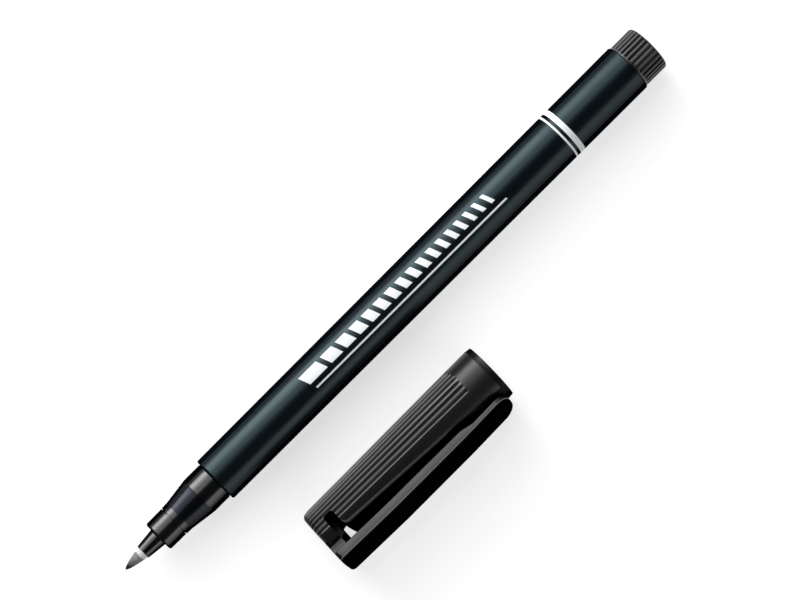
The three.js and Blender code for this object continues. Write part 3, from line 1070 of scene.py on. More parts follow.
    def end_plug(self) -> bpy.types.Object:
        """Builds the grooved head of the plug and its skirt.

        Returns:
            The new object.
        """
        front = self.barrel_length
        rear = front + self.plug_length
        hollow_end = front + self.plug_hollow_in_head
        skirt_end = front - self.plug_skirt_length
        skirt = self.plug_seat_radius - self.fit
        edge = self.plug_edge
        grooves = self.plug_grooves
        grooves_from = front + self.plug_collar_length
        outline = [
            (hollow_end, 0.0),
            (hollow_end, self.plug_hollow_radius),
            (skirt_end, self.plug_hollow_radius),
            (skirt_end, skirt),
            (front, skirt),
            (front, self.plug_radius - self.plug_front_edge),
            (front + self.plug_front_edge, self.plug_radius),
            *((grooves_from + self.plug_run_in * i / 5, self.plug_radius) for i in range(6)),
            *arc(rear - edge, self.plug_radius - edge, edge, 90, 0, 12),
            (rear, 0.0),
        ]

        def relief(x: float, radius: float, angle: float) -> float:
            """The radius of the grip where a groove may run through it."""
            run_in = smoothstep((x - grooves_from) / self.plug_run_in)
            return min(radius, self.plug_radius - run_in * grooves.cut(self.plug_radius, angle))

        def zone(step: int, angle: float) -> int:
            """Chooses the groove finish, painted shade, deep in a groove, as far along as the grooves go.

            Args:
                step: Step of the outline.
                angle: Angle from +z in radians.

            Returns:
                The finish's number.
            """
            x, radius = outline[step]
            on_flank = x > grooves_from + self.plug_shade_after
            grooved = on_flank and radius > self.plug_radius - grooves.depth / 2
            return int(grooved and grooves.shaded(self.plug_radius, angle))

        return turned_piece(
            "fine_end_plug",
            outline,
            self.placement(),
            RIB_PLASTIC.material(),
            GROOVE_PLASTIC.material(),
            segments=grooves.count * grooves.steps,
            relief=relief,
            zone=zone,
        )

    def build(self) -> None:
        """Builds every piece of the pen."""
        nose = NOSE_PLASTIC.material()
        mount(self.barrel(), Body.PEN, Slot.BARREL)
        mount(self.nose_section(nose), Body.PEN, Slot.NOSE)
        mount(self.nib_holder(nose), Body.PEN, Slot.NOSE)
        mount(self.nib(), Body.PEN, Slot.NIB)
        mount(self.end_plug(), Body.PEN, Slot.CAP)
        # The same fibre, soaked with ink: black, with a faint sheen along the bundles
        soaked = BondedFibre(
            name="polyester_fibre_soaked",
            dry="#24242b",
            damp="#1a1a20",
            inked="#101014",
            fibre_mm=0.12,
            fibre_run=30,
            ends=(-0.03, 0.0, 0.05),
        )
        redress_node("ink_reservoir", soaked.material())
        redress_node("reservoir_sleeve", FILM_PLASTIC.material())


class ShellFinish(IntEnum):
    """The finishes of the cap's shell, by the number that a face carries."""

    RIB = 0
    SMOOTH = 1
    RECESS = 2
    CORE = 3
    EDGE = 4
    GROOVE = 5
    RIM = 6


class ClipFinish(IntEnum):
    """The finishes of the clip, by the number that a face carries."""

    DEEP = 0
    EDGE = 1
    CORE = 2


# In the order of the two sets of numbers above
SHELL_PLASTICS = (
    RIB_PLASTIC,
    SMOOTH_PLASTIC,
    SHADED_PLASTIC,
    SHADOW_PLASTIC,
    EDGE_PLASTIC,
    GROOVE_PLASTIC,
    RIM_PLASTIC,
)
CLIP_PLASTICS = (SHADED_PLASTIC, EDGE_PLASTIC, SHADOW_PLASTIC)


@dataclass
class Cap:
    """The cap: shell, inner cap and clip.

    Its frame starts at the middle of its mouth. x points out of the mouth, and z towards the clip.
    """

    yaw_deg: float = -1.17
    clip_tip_up_deg: float = 30.0

    length: float = 39.6
    mouth_radius: float = 5.1
    end_radius: float = 4.3
    end_edge: float = 0.95
    mouth_edge: float = 0.12
    end_lean_deg: float = 1.4
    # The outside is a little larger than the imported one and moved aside, most of all at the mouth
    swell: float = 0.2
    swell_aside: float = 0.1
    swell_at_end: float = 0.3
    mouth_back: float = 0.33
    # The lip is the narrow stretch at the mouth, a little lower than the smooth band beside it
    lip_length: float = 1.0
    lip_step: float = 0.06
    lip_depth: float = 0.06
    lip_taper: float = 0.1
    # Angles from the clip's side within which the lip and the band take painted shade
    lip_shade_deg: float = 46.0
    band_length: float = 5.4
    band_shade_deg: float = 27.0
    bore_radius: float = 3.66
    bore_edge: float = 0.15
    bore_depth: float = 9.0
    liner_seat_radius: float = 3.5
    liner_seat_taper: float = 0.28
    chamber_radius: float = 2.65

    grooves: Grooves = Grooves(count=32, depth=0.24, half_width=0.22, wall=0.36, smooth_half_angle=62)
    # Past the band: how far the grooves take to reach their depth, and where the ribs' finish starts.
    # On the closed end: the width, from its flat face outwards, over which the grooves fade in
    groove_run_out: float = 1.0
    rib_finish_after: float = 0.1
    groove_end_fade: float = 0.6

    liner_length: float = 14.0
    liner_mouth_edge: float = 0.08
    liner_end_edge: float = 0.2
    liner_seal_radius: float = 2.95
    liner_seal_edge: float = 0.3
    liner_seal_length: float = 4.7
    liner_chamber_radius: float = 2.6
    liner_end_wall: float = 1.1
    fit: float = 0.04

    # The slot's wall on the mouth's side, from the mouth. Its web and vent are away from the pen
    slot_near_mouth: float = 35.12
    slot_width: float = 1.98
    slot_floor: float = 0.1
    slot_corner: float = 0.75
    slot_corner_share: float = 0.45
    slot_step: float = 0.01
    slot_overlap: float = 0.1
    slot_overshoot: float = 1.0
    web_length: float = 0.96
    web_height: float = 3.1
    web_side: float = 0.8
    vent_floor: float = -0.27
    # How far the vent's two ends lean towards the mouth, on the side away from the pen
    vent_lean: tuple[float, float] = (0.35, 1.4)
    chamber_in_slot: float = 1.03

    recess_roll: float = 0.97
    recess_roll_depth: float = 0.67
    recess_floor_at_slot: float = 3.3
    recess_floor_at_knee: float = 4.3
    recess_knee: float = 10.0
    recess_run_out: float = 3.2
    recess_edge: float = 0.34
    recess_edge_overlap: float = 0.8
    # Places along the axis, with the share of the recess's edge that carries a painted highlight, or
    # painted shade, there
    recess_edge_highlight: tuple[tuple[float, float], ...] = ((-15.0, 1.0), (-11.0, 0.0))
    recess_edge_shade: tuple[tuple[float, float], ...] = ((-11.0, 0.0), (-6.5, 1.0))

    # Steps of the mesh from the grooves to the middle of the clip's side, and its places along the axis
    plain_steps: int = 24
    plain_least_rad: float = 0.01
    edge_steps: int = 8
    floor_steps: int = 6
    end_places: tuple[float, ...] = (-38.0, -37.4, -36.9, -36.4)
    slot_gap: float = 0.02
    slot_places: tuple[float, ...] = (-35.5, -35.2)
    roll_shares: tuple[float, ...] = (0.0, 0.06, 0.15, 0.3, 0.5, 0.75, 1.0)
    grip_pitch: float = 2.5
    # Stations where the painted highlight along the recess's edge fades out
    highlight_edge_from: float = -15.5
    highlight_edge_pitch: float = 0.5
    knee_ease: float = 0.4
    toe_places: tuple[float, ...] = (-8.5, -7.4, -6.6)
    band_places: tuple[float, ...] = (-4.6, -4.2, -3.9, -3.6, -3.4)
    mouth_places: tuple[float, ...] = (-2.9, -2.2, -1.5)

    clip_width: float = 6.1
    clip_end_gap: float = 1.6
    clip_corner: float = 2.4
    # At the clip's root: corners on the pen's side and on the other, how far its end is drawn in for
    # each millimetre of height, and the length along the clip over which that fades out
    clip_rear_corners: tuple[float, float] = (0.5, 0.95)
    clip_rear_draw: float = 0.16
    clip_rear_reach: float = 6.0
    clip_edge_outer: float = 0.2
    clip_edge_inner: float = 0.15
    clip_edge_steps: int = 5
    # Steps of the outer edge on the pen's side that carry a painted highlight
    clip_highlight_steps: int = 3
    clip_side_steps: int = 30
    # Heights of its outer face over the axis, and their places from the mouth. An ease is a length
    # along the axis, with how much of the thickness changes over it
    clip_root_height: float = 7.4
    clip_root_place: float = 40.6
    clip_crown_height: float = 7.46
    clip_crown_place: float = 27.0
    clip_step_height: float = 7.11
    clip_step_place: float = 11.4
    clip_step_ease: tuple[float, float] = (0.6, 0.06)
    clip_toe_height: float = 6.74
    clip_toe_place: float = 3.8
    clip_toe_ease: tuple[float, float] = (0.4, 0.03)
    clip_tip_drop: float = 0.2
    clip_thickness: float = 1.7
    clip_step_thickness: float = 1.6
    clip_toe_thickness: float = 0.93
    clip_thinning: float = 2.7

    block_length: float = 2.67
    block_width: float = 4.0
    block_edge: float = 0.12
    block_gap: float = 0.02
    block_neck: float = 0.12
    # Below the block's top, in depths of its neck: where the neck starts and where it is full
    block_neck_from: tuple[float, float] = (1.6, 1.2)
    block_foot_flare: float = 0.75
    # Heights over the axis, with how far the block's sides stand out there
    block_flare: tuple[tuple[float, float], ...] = ((3.42, 0.6), (3.6, 0.3), (3.8, 0.1), (4.0, 0.0))
    block_flare_ahead: float = 0.3

    def rotation(self) -> Matrix:
        """Turns the cap as it lies: rolled clip sideways, pitched by its taper, then yawed.

        Returns:
            The rotation.
        """
        roll = Matrix.Rotation(math.radians(90 - self.clip_tip_up_deg), 4, "X")
        pitch = Matrix.Rotation(-math.atan2(self.mouth_radius - self.end_radius, self.length), 4, "Y")
        yaw = Matrix.Rotation(math.radians(self.yaw_deg), 4, "Z")
        return yaw @ pitch @ roll

    def placement(self) -> Matrix:
        """Takes millimetres from the cap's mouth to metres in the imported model's frame.

        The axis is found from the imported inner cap, which is a round body on it, and the mouth from the
        packed shell.

        Returns:
            The matrix between them.
        """
        turn = self.rotation()
        back = turn.inverted()
        liner = [back @ v.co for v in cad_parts["cap_liner"].data.vertices]
        shell = [back @ v.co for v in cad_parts["cap_shell"].data.vertices]
        mouth = max(p.x for p in shell)
        across = (max(p.y for p in liner) + min(p.y for p in liner)) / 2
        up = (max(p.z for p in liner) + min(p.z for p in liner)) / 2
        return turn @ Matrix.Translation((mouth, across, up)) @ Matrix.Scale(MM, 4)

    def swollen(self, x: float) -> float:
        """The share of the mouth's swelling that a place along the axis has."""
        return self.swell_at_end + (1 - self.swell_at_end) * (1 + x / self.length)

    def radius(self, x: float) -> float:
        """The outer radius at a place along the axis."""
        packed = self.mouth_radius + (self.mouth_radius - self.end_radius) * x / self.length
        return packed + self.swell * self.swollen(x)

    def shift(self, x: float) -> Vector:
        """How far the outside is moved across the axis, so that it still rests on the table."""
        roll = Matrix.Rotation(math.radians(self.clip_tip_up_deg - 90), 3, "X")
        return roll @ Vector((0.0, self.swell_aside, self.swell)) * self.swollen(x)

    def end_share(self, radius: float) -> float:
        """The share of the grooves' depth that is left where the closed end is rounded off."""
        face = self.end_radius - self.end_edge
        return smoothstep((radius - face) / self.groove_end_fade)

    def lean(self, height: float) -> float:
        """How far the closed end reaches back at a height towards the clip."""
        return height * math.tan(math.radians(self.end_lean_deg))

    def recess_floor(self, x: float) -> float:
        """Finds the height of the recess's floor.

        Args:
            x: Place along the axis.

        Returns:
            The floor's height towards the clip, or the surface's where there is no recess.
        """
        wall = -self.slot_near_mouth
        end = -self.recess_run_out
        if x < wall - self.slot_width / 2 or x > end:
            return self.radius(x)
        knots = [
            (wall, self.recess_floor_at_slot),
            (-self.recess_knee, self.recess_floor_at_knee),
            (end, self.radius(end)),
        ]
        away = min(max((x - wall) / self.recess_roll, 0.0), 1.0)
        drop = self.recess_roll_depth * (1 - math.sqrt(1 - (1 - away) ** 2))
        return read_off(knots, x) - drop

    def section(self, x: float, radius: float) -> Outline:
        """One half of the outer section across the axis, as (y, z) from straight below to the clip side.

        Args:
            x: Place along the axis.
            radius: Outer radius of the turned body there.

        Returns:
            The half section's points, the same number at every place.
        """
        first = math.radians(self.grooves.smooth_half_angle)
        step = self.grooves.step()
        depth_share = smoothstep((-self.band_length - x) / self.groove_run_out) * self.end_share(radius)
        half: Outline = []
        angle = math.pi
        while angle > first:
            r = radius - depth_share * self.grooves.cut(self.radius(x), angle)
            half.append((r * math.sin(angle), r * math.cos(angle)))
            angle -= step
        floor = min(self.recess_floor(x), radius)
        meet = math.sqrt(radius * radius - floor * floor)
        size = min(self.recess_edge, 0.5 * meet)
        edge = math.asin((meet + self.recess_edge_overlap * size) / radius)
        edge = min(edge, first - self.plain_least_rad)
        for i in range(self.plain_steps):
            angle = first + (edge - first) * i / (self.plain_steps - 1)
            half.append((radius * math.sin(angle), radius * math.cos(angle)))
        before, corner, after = (Vector(p) for p in (half[-1], (meet, floor), (meet - size, floor)))
        for i in range(1, self.edge_steps + 1):
            t = i / self.edge_steps
            half.append(tuple(before * (1 - t) ** 2 + corner * 2 * t * (1 - t) + after * t * t))
        flat = self.floor_steps
        half += [((meet - size) * (1 - i / flat), floor) for i in range(1, flat + 1)]
        return half

    def outer_stations(self) -> Outline:
        """Lists the places along the outside where its section is drawn.

        Returns:
            Points of (x, radius of the turned body), from closed end to mouth.
        """
        near = -self.slot_near_mouth
        middle = near - self.slot_width / 2
        knee = -self.recess_knee
        rim = -self.mouth_back
        lip = self.radius(rim) - self.lip_depth
        places = [
            *self.end_places,
            middle - self.slot_gap,
            middle + self.slot_gap,
            *self.slot_places,
            *(near + self.recess_roll * share for share in self.roll_shares),
            *(near + self.grip_pitch * i for i in range(1, 8)),
            *(self.highlight_edge_from + self.highlight_edge_pitch * i for i in range(11)),
            *(knee - self.knee_ease, knee, knee + self.knee_ease),
            *self.toe_places,
            *(-self.band_length - self.groove_run_out * (1 - i / 6) for i in range(7)),
            *self.band_places,
            -self.recess_run_out,
            *self.mouth_places,
            rim - self.lip_length - self.lip_step,
        ]
        return [
            *arc(self.end_edge - self.length, self.end_radius - self.end_edge, self.end_edge, 180, 90, 12),
            *((x, self.radius(x)) for x in places),
            (rim - self.lip_length, lip),
            *rear_edge(rim, lip - self.lip_taper, self.mouth_edge),
        ]

    def side_finishes(self, x: float, radius: float, half: Outline) -> list[int]:
        """The finishes of one side of the outside, at a place along the axis.

        Args:
            x: The place.
            radius: Outer radius of the turned body there.
            half: The half section there.

        Returns:
            A finish's number for each step of the half section.
        """
        if x > -self.band_length + SAME_PLACE:
            # Round the mouth the lip takes the rim's shaded copy, and the sector next to the clip takes
            # painted shade
            in_lip = x > -self.mouth_back - self.lip_length - SAME_PLACE
            lit = ShellFinish.RIM if in_lip else ShellFinish.SMOOTH
            shade_limit = math.radians(self.lip_shade_deg if in_lip else self.band_shade_deg)
            return [lit if math.atan2(y, z) > shade_limit else ShellFinish.CORE for y, z in half[:-1]]
        count = len(half) - 1 - self.plain_steps - self.edge_steps - self.floor_steps
        grip = [ShellFinish.SMOOTH] * count
        if x < -self.band_length - self.rib_finish_after:
            grip = [ShellFinish.RIB] * count
            # Deep in the grooves the ribs take painted shade
            if self.end_share(radius) > 0.5:
                step = self.grooves.step()
                middle = (self.mouth_radius + self.end_radius) / 2
                for i in range(count):
                    if self.grooves.shaded(middle, math.pi - step * (i + 0.5)):
                        grip[i] = ShellFinish.GROOVE
        # Along the recess's edge a pale share carries a painted highlight and a shaded share painted shade;
        # the recess's floor takes the shaded copy, painted shade
        pale = round(self.edge_steps * read_off(self.recess_edge_highlight, x))
        shaded = round(self.edge_steps * read_off(self.recess_edge_shade, x))
        return [
            *grip,
            *[ShellFinish.SMOOTH] * self.plain_steps,
            *[ShellFinish.EDGE] * pale,
            *[ShellFinish.SMOOTH] * (self.edge_steps - pale - shaded),
            *[ShellFinish.CORE] * shaded,
            *[ShellFinish.RECESS] * self.floor_steps,
        ]

    def bore_outline(self) -> Outline:
        """Draws the bore from the mouth to the chamber's end.

        Returns:
            Points of (x, radius).
        """
        seat = self.bore_depth + self.liner_length + self.fit
        edge = self.bore_edge
        return [
            *arc(-self.mouth_back - edge, self.bore_radius + edge, edge, 0, -90, 4),
            (-self.bore_depth, self.bore_radius),
            (-self.bore_depth, self.liner_seat_radius),
            (-seat, self.liner_seat_radius - self.liner_seat_taper),
            (-seat, self.chamber_radius),
            (-self.slot_near_mouth - self.chamber_in_slot, self.chamber_radius),
        ]

    def shell_skin(self) -> bpy.types.Object:
        """Builds the shell without its slot and block: the outside lofted, the bore turned.

        Returns:
            The new object.
        """
        sketch = Sketch()
        stations = self.outer_stations()
        halves = [self.section(x, radius) for x, radius in stations]
        wholes = [half + [(-y, z) for y, z in reversed(half[1:-1])] for half in halves]
        rings = []
        for (x, _), whole in zip(stations, wholes):
            share = 1 if x < self.end_edge - self.length + SAME_PLACE else 0
            move = self.shift(x)
            ring = [(x - share * self.lean(z), y + move.y, z + move.z) for y, z in whole]
            rings.append(sketch.ring(ring))
        face = [sketch.points[i] for i in rings[0]]
        halfway = sketch.ring([((x - self.length) / 2, y / 2, z / 2) for x, y, z in face])
        centre = sketch.ring([(-self.length, 0.0, 0.0)])
        sketch.skin(centre, halfway, [ShellFinish.SMOOTH])
        sketch.skin(halfway, rings[0], [ShellFinish.SMOOTH])
        for (x, radius), half, before, after in zip(stations[1:], halves[1:], rings, rings[1:]):
            side = self.side_finishes(x, radius, half)
            sketch.skin(before, after, side + side[::-1])

        bore = self.bore_outline()
        angles = [math.atan2(y, z) for y, z in wholes[-1]]
        inner = [rings[-1], *(sketch.circle(x, [radius] * len(angles), angles) for x, radius in bore)]
        inner.append(sketch.ring([(bore[-1][0], 0.0, 0.0)]))
        # The bore takes the shaded copy: painted shade
        for before, after in zip(inner, inner[1:]):
            sketch.skin(before, after, [ShellFinish.CORE])
        finishes = (plastic.material() for plastic in SHELL_PLASTICS)
        return sketch.build("fine_cap_shell", self.placement(), *finishes)

    def slot_bar(
        self,
        along: tuple[float, float],
        floor: float,
        across: tuple[float, float],
        lean: tuple[float, float] = (0.0, 0.0),
    ) -> bpy.types.Object:
        """A bar that cuts one part of the slot, with round lower corners.

        Args:
            along: Where it starts and ends along the axis.
            floor: Height of its underside towards the clip.
            across: Where it starts and ends across the cap.
            lean: How far its two ends along the axis are moved towards the mouth where it starts across.

        Returns:
            The bar.
        """
        sketch = Sketch()
        start, wall = along
        low, high = across
        turn = min(self.slot_corner, (wall - start) * self.slot_corner_share)
        outline = [
            (start, self.clip_crown_height),
            *arc(start + turn, floor + turn, turn, 180, 270),
            *arc(wall - turn, floor + turn, turn, 270, 360),
            (wall, self.clip_crown_height),
        ]
        splay = [lean[0] + (lean[1] - lean[0]) * (x - start) / (wall - start) for x, _ in outline]
        near = sketch.ring([(x + off, low, z) for (x, z), off in zip(outline, splay)])
        far = sketch.ring([(x, high, z) for x, z in outline])
        # Every face of the bar carries the shaded copy into the cut: painted shade in the slot
        sketch.skin(near, far, [ShellFinish.CORE])
        sketch.face(near, ShellFinish.CORE)
        sketch.face(far[::-1], ShellFinish.CORE)
        return sketch.build("slot_bar", self.placement())

    def block(self) -> bpy.types.Object:
        """Builds the block between the shell's closed end and the clip, flared where it meets the shell.

        Returns:
            The block.
        """
        sketch = Sketch()
        front = -self.length + self.block_length
        top = self.clip_root_height - self.clip_thickness - self.block_gap
        foot = self.end_radius - self.end_edge - self.grooves.depth
        neck = self.block_neck
        edge = self.block_edge
        start, full = self.block_neck_from
        levels = [
            (foot, self.block_foot_flare),
            *self.block_flare,
            (top - start * neck, 0.0),
            (top - full * neck, -neck),
            (top, -neck),
        ]
        rings = []
        for z, flare in levels:
            half = self.block_width / 2 + flare
            rear = -self.length - self.lean(z)
            ahead = front + (flare * self.block_flare_ahead if flare > 0 else flare)
            near = [(rear, half - edge), (rear + edge, half), (ahead - edge, half), (ahead, half - edge)]
            corners = [(x, -y) for x, y in near] + near[::-1]
            rings.append(sketch.ring([(x, y, z) for x, y in corners]))
        # The flared foot and the neck under the clip take painted shade, and the upright side the smooth
        # finish
        sides = len(self.block_flare)
        for level, (before, after) in enumerate(zip(rings, rings[1:])):
            sketch.skin(before, after, [ShellFinish.SMOOTH if level == sides else ShellFinish.CORE])
        sketch.face(rings[0])
        sketch.face(rings[-1][::-1])
        return sketch.build("block", self.placement())

    def slot_cutter(self) -> bpy.types.Object:
        """Builds what cuts the slot, which is half closed by a web on the side away from the pen.

        Returns:
            The cutter.
        """
        wall = -self.slot_near_mouth
        back = wall - self.slot_width
        step = self.slot_step
        reach = self.mouth_radius + self.slot_overshoot
        side = self.web_side
        lap = self.slot_overlap
        cutter = self.slot_bar((back, wall), self.slot_floor, (side, reach))
        over_web = self.slot_bar((back + step, wall - step), self.web_height, (-reach, side + lap))
        vent_along = (back + self.web_length, wall - 2 * step)
        vent = self.slot_bar(vent_along, self.vent_floor, (lap - reach, side + 2 * lap), self.vent_lean)
        combine(cutter, over_web, "UNION")
        combine(cutter, vent, "UNION")
        return cutter

    def shell(self) -> bpy.types.Object:
        """Builds the whole shell: the lofted skin with the block joined on and the slot cut out.

        Returns:
            The new object.
        """
        shell = self.shell_skin()
        combine(shell, self.block(), "UNION")
        combine(shell, self.slot_cutter(), "DIFFERENCE")
        smooth(shell, sharp_deg=40)
        return shell

    def liner(self) -> bpy.types.Object:
        """Builds the inner cap: a seal land at its mouth, a chamber behind it and a closed end.

        Returns:
            The new object.
        """
        mouth = -self.bore_depth - self.fit
        end = mouth - self.liner_length + self.fit
        outer = self.liner_seat_radius - self.fit
        seal_edge = self.liner_seal_edge
        seal_end = mouth - self.liner_seal_length
        chamber_end = end + self.liner_end_wall
        outline = [
            (end, 0.0),
            *front_edge(end, outer - self.liner_seat_taper, self.liner_end_edge),
            *rear_edge(mouth, outer, self.liner_mouth_edge),
            *arc(mouth - seal_edge, self.liner_seal_radius + seal_edge, seal_edge, 0, -90, 6),
            (seal_end, self.liner_seal_radius),
            (seal_end, self.liner_chamber_radius),
            (chamber_end, self.liner_chamber_radius),
            (chamber_end, 0.0),
        ]
        return turned_piece("fine_cap_liner", outline, self.placement(), LINER_PLASTIC.material())

    def clip_outer(self, x: float) -> float:
        """Finds the height of the clip's outer face.

        Args:
            x: Place along the axis.

        Returns:
            The height.
        """
        knots = [
            (-self.clip_root_place, self.clip_root_height),
            (-self.clip_crown_place, self.clip_crown_height),
            (-self.clip_step_place, self.clip_step_height),
            (-self.clip_toe_place, self.clip_toe_height),
            (-self.clip_end_gap, self.clip_toe_height - self.clip_tip_drop),
        ]
        return read_off(knots, x)

    def clip_inner(self, x: float) -> float:
        """Finds the height of the clip's inner face.

        Args:
            x: Place along the axis.

        Returns:
            The height.
        """
        step = -self.clip_step_place
        toe = step + self.clip_thinning
        step_run, step_drop = self.clip_step_ease
        toe_run, toe_rise = self.clip_toe_ease
        thick = [
            (-self.clip_crown_place, self.clip_thickness),
            (step, self.clip_step_thickness),
            (step + step_run, self.clip_step_thickness - step_drop),
            (toe - toe_run, self.clip_toe_thickness + toe_rise),
            (toe, self.clip_toe_thickness),
        ]
        return self.clip_outer(x) - read_off(thick, x)

    def clip_plan(self, inset: float, rear_corner: float) -> Outline:
        """Half the clip's outline seen from above, from its closed end to its tip.

        Args:
            inset: How far the outline is drawn in from the clip's own.
            rear_corner: Radius of the corner at the closed end.

        Returns:
            Points of (x, half width), the same number for every inset.
        """
        half = self.clip_width / 2 - inset
        turn = self.clip_corner - inset
        rear_turn = rear_corner - inset
        start = inset - self.length + rear_turn
        ahead = -self.clip_end_gap - inset - turn
        steps = self.clip_side_steps
        return [
            *arc(start, half - rear_turn, rear_turn, 180, 90, 4),
            *((start + (ahead - start) * i / steps, half) for i in range(1, steps)),
            *arc(ahead, half - turn, turn, 90, 0, 16),
        ]

    def clip_layer(self, face: int, size: float, angle: float) -> list[Point]:
        """One ring of the clip, at a place on a rounded edge.

        Args:
            face: 1 for the outer face and -1 for the inner one.
            size: Radius of the edge.
            angle: Turn round the edge, 0 at the clip's side and a quarter turn at the face.

        Returns:
            The ring's points, along the pen's side and back along the other.
        """
        inset = size * (1 - math.cos(angle))
        pen_side, far_side = (self.clip_plan(inset, corner) for corner in self.clip_rear_corners)
        held = self.clip_root_height - self.clip_thickness
        points = []
        for x, y in pen_side + [(x, -y) for x, y in reversed(far_side)]:
            surface = self.clip_outer(x) if face > 0 else self.clip_inner(x)
            z = surface - face * size * (1 - math.sin(angle))
            back = self.lean(min(z, held)) - self.clip_rear_draw * max(z - held, 0.0)
            back *= smoothstep(1 - (x + self.length) / self.clip_rear_reach)
            points.append((x - back, y, z))
        return points

    def clip(self) -> bpy.types.Object:
        """Builds the clip: a tapering plate with every edge rounded.

        Returns:
            The new object.
        """
        sketch = Sketch()
        steps = self.clip_edge_steps
        quarter = [math.pi / 2 * i / steps for i in range(steps + 1)]
        inner = [sketch.ring(self.clip_layer(-1, self.clip_edge_inner, a)) for a in reversed(quarter)]
        outer = [sketch.ring(self.clip_layer(1, self.clip_edge_outer, a)) for a in quarter]
        layers = inner + outer
        count = len(layers[0])
        side = count // 2 - 1
        # On the pen's side the inner edge takes painted shade, and the outer one a painted highlight line
        # along its start; the rest of the clip is the shaded copy, painted shade
        highlight_rows = self.clip_highlight_steps
        rows = [ClipFinish.CORE] * steps + [ClipFinish.DEEP]
        rows += [ClipFinish.EDGE] * highlight_rows + [ClipFinish.DEEP] * (steps - highlight_rows)
        for row, before, after in zip(rows, layers, layers[1:]):
            sketch.skin(before, after, [row] * side + [ClipFinish.DEEP] * (count - side))
        for ring, turned in ((layers[0], True), (layers[-1], False)):
            for i in range(side):
                quad = (ring[i], ring[i + 1], ring[count - 2 - i], ring[count - 1 - i])
                sketch.face(quad[::-1] if turned else quad)
        finishes = (plastic.material() for plastic in CLIP_PLASTICS)
        made = sketch.build("fine_cap_clip", self.placement(), *finishes)
        smooth(made, sharp_deg=40)
        return made

    def build(self) -> None:
        """Builds every piece of the cap."""
        mount(self.shell(), Body.CAP, Slot.CAP)
        mount(self.liner(), Body.CAP, Slot.LINER)
        mount(self.clip(), Body.CLIP, Slot.CAP)


def facing(place: Vector, right: Vector, up: Vector, back: Vector) -> Matrix:
    """The matrix of a lamp or camera at a place, from its own three directions."""
    return Matrix.Translation(place) @ Matrix((right, up, back)).transposed().to_4x4()


@dataclass
class Softbox:
    """A soft rectangular lamp beside the object.

    Attributes:
        name: The lamp's name.
        low_deg: Height above the table of its lower edge, seen from the object.
        high_deg: Height of its upper edge.
        length: Its length along the pen, in metres.
        radiance: Its brightness, where 1 is a white that just fills the picture's range.
        side: 1 on the pen's side, -1 on the cap's side.
        distance: How far off it stands, in metres.
        along: Where its middle is along the pen, in metres.
    """

    name: str
    low_deg: float
    high_deg: float
    length: float
    radiance: float
    side: int = 1
    distance: float = 0.6
    along: float = 0.0

    def build(self, target: Vector) -> None:
        """Makes the lamp and turns it towards a point.

        Args:
            target: The point, in metres.
        """
        middle = math.radians((self.low_deg + self.high_deg) / 2)
        spread = math.radians((self.high_deg - self.low_deg) / 2)
        height = 2 * self.distance * math.tan(spread)
        data = bpy.data.lights.new(self.name, "AREA")
        data.shape = "RECTANGLE"
        data.size = self.length
        data.size_y = height
        data.energy = self.radiance * math.pi * self.length * height
        lamp = bpy.data.objects.new(self.name, data)
        along = Vector((1, 0, 0))
        away = Vector((0, self.side * math.cos(middle), math.sin(middle)))
        place = target + away * self.distance + along * self.along
        lamp.matrix_world = facing(place, along, away.cross(along), away)
        bpy.context.scene.collection.objects.link(lamp)


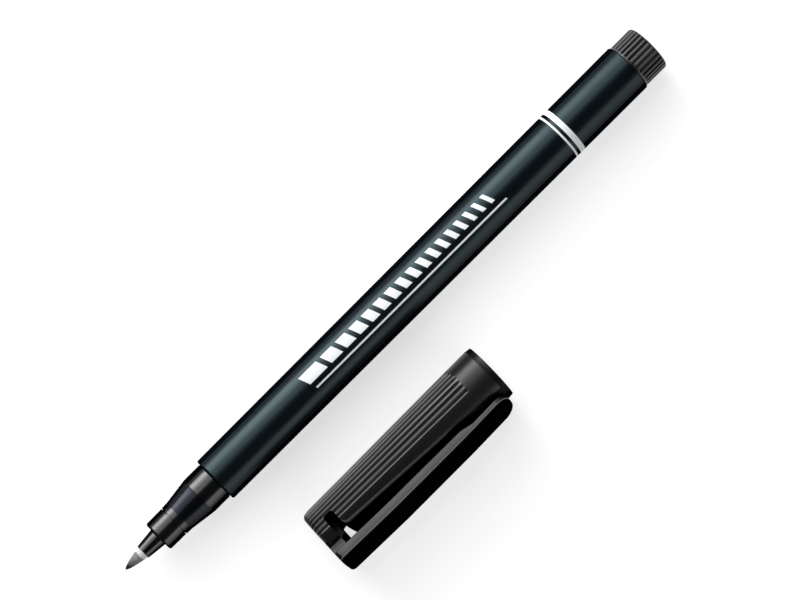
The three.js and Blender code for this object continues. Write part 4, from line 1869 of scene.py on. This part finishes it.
@dataclass
class Studio:
    """A pale floor, soft lamps and the camera.

    Places in the photograph are given along the pen (s) and across it (t), in pixels from the pen's
    middle on its axis.
    """

    # The nadir is the place right below the camera, and the aim is the picture's middle, where the
    # scale is px_per_mm times zoom
    picture_width_px: float = 787.0
    px_per_mm: float = 6.1
    pen_middle_x_mm: float = 4.5
    nadir_s_px: float = -310.0
    zoom: float = 0.9963
    aim_s_px: float = -19.6
    aim_t_px: float = 1.3
    height_mm: float = 666.0
    pen_angle_deg: float = 44.976
    sensor_mm: float = 36.0
    # In metres. The glow is the light that only the eye and reflections see
    floor_size: float = 6.0
    floor_colour: str = "#c4c4c4"
    floor_glow: float = 0.68
    lamp_target_mm: float = 5.0
    room_strength: float = 0.05

    def camera(self) -> None:
        """Hangs the camera over the nib's side of the pen, looking at the picture's middle."""
        axis = Pen().placement().translation
        aim_y = axis.y + self.aim_t_px / self.px_per_mm * MM
        aim_x, eye_x = (
            (self.pen_middle_x_mm + s / self.px_per_mm) * MM for s in (self.aim_s_px, self.nadir_s_px)
        )
        aim = Vector((aim_x, aim_y, axis.z))
        eye = Vector((eye_x, aim_y, axis.z + self.height_mm * MM))
        back = (eye - aim).normalized()
        along = Vector((1, 0, 0))
        along = (along - back * along.dot(back)).normalized()
        across = back.cross(along)
        turn = math.radians(self.pen_angle_deg)
        right = along * math.cos(turn) - across * math.sin(turn)
        up = along * math.sin(turn) + across * math.cos(turn)
        data = bpy.data.cameras.new("camera")
        data.sensor_width = self.sensor_mm
        depth = (eye - aim).length / MM
        data.lens = self.px_per_mm * self.zoom * depth * self.sensor_mm / self.picture_width_px
        data.clip_start = 0.05
        data.clip_end = 20
        camera = bpy.data.objects.new("camera", data)
        camera.matrix_world = facing(eye, right, up, back)
        bpy.context.scene.collection.objects.link(camera)
        bpy.context.scene.camera = camera

    def floor(self) -> None:
        """Lays a pale floor that shows white round the object and keeps its shadow."""
        size = self.floor_size / 2
        mesh = bpy.data.meshes.new("floor")
        corners = [(-size, -size, 0), (size, -size, 0), (size, size, 0), (-size, size, 0)]
        mesh.from_pydata(corners, [], [(0, 1, 2, 3)])
        floor = bpy.data.objects.new("floor", mesh)
        bpy.context.scene.collection.objects.link(floor)
        # Uncoated paper, pale grey: matt, and lit up only where the eye or a reflection looks at it
        made, shader = start_material("paper_pale")
        plug_in(shader, Base_Color=hex_to_linear(self.floor_colour), Roughness=0.9, Specular_IOR_Level=0.1)
        tree = made.node_tree
        path = add_node(tree, "LightPath").outputs
        seen = path["Is Camera Ray"]
        for ray in ("Is Glossy Ray", "Is Transmission Ray"):
            seen = add_node(tree, "Math", {"operation": "MAXIMUM"}, i0=seen, i1=path[ray])
        glow = add_node(tree, "Math", {"operation": "MULTIPLY"}, i0=seen, i1=self.floor_glow)
        white = add_node(tree, "Emission", Color=(1, 1, 1, 1), Strength=glow)
        both = add_node(tree, "AddShader", i0=shader, i1=white)
        plug_in(tree.nodes["Material Output"], Surface=both)
        floor.data.materials.append(made)

    def lamps(self) -> None:
        """Hangs softboxes on the pen's side and a weaker one on the cap's side, and dims the room."""
        target = Vector((0, 0, self.lamp_target_mm * MM))
        for lamp in (
            Softbox("key", low_deg=10, high_deg=35, length=0.4, radiance=8.5),
            Softbox("key_upper", low_deg=35, high_deg=48, length=0.5, radiance=4.2),
            Softbox("wash", low_deg=48, high_deg=74, length=0.7, radiance=1.9),
            Softbox("corner", low_deg=4, high_deg=36, length=0.5, radiance=2.2, along=0.48),
            Softbox("fill", low_deg=1, high_deg=40, length=0.7, radiance=1.7, side=-1),
        ):
            lamp.build(target)
        world = bpy.data.worlds.new("room")
        bpy.context.scene.world = world
        world.use_nodes = True
        plug_in(world.node_tree.nodes["Background"], Color=(1, 1, 1, 1), Strength=self.room_strength)

    def build(self) -> None:
        """Builds the camera, the floor and the lamps, and sets how colours are shown."""
        self.camera()
        self.floor()
        self.lamps()
        bpy.context.scene.view_settings.view_transform = "Standard"


def main() -> None:
    """Builds the studio, the pen and the cap."""
    logging.basicConfig(level=logging.INFO, format="%(message)s")
    for assembly in (Studio(), Pen(), Cap()):
        log.info("building the %s", type(assembly).__name__.lower())
        assembly.build()


if __name__ == "__main__":
    main()
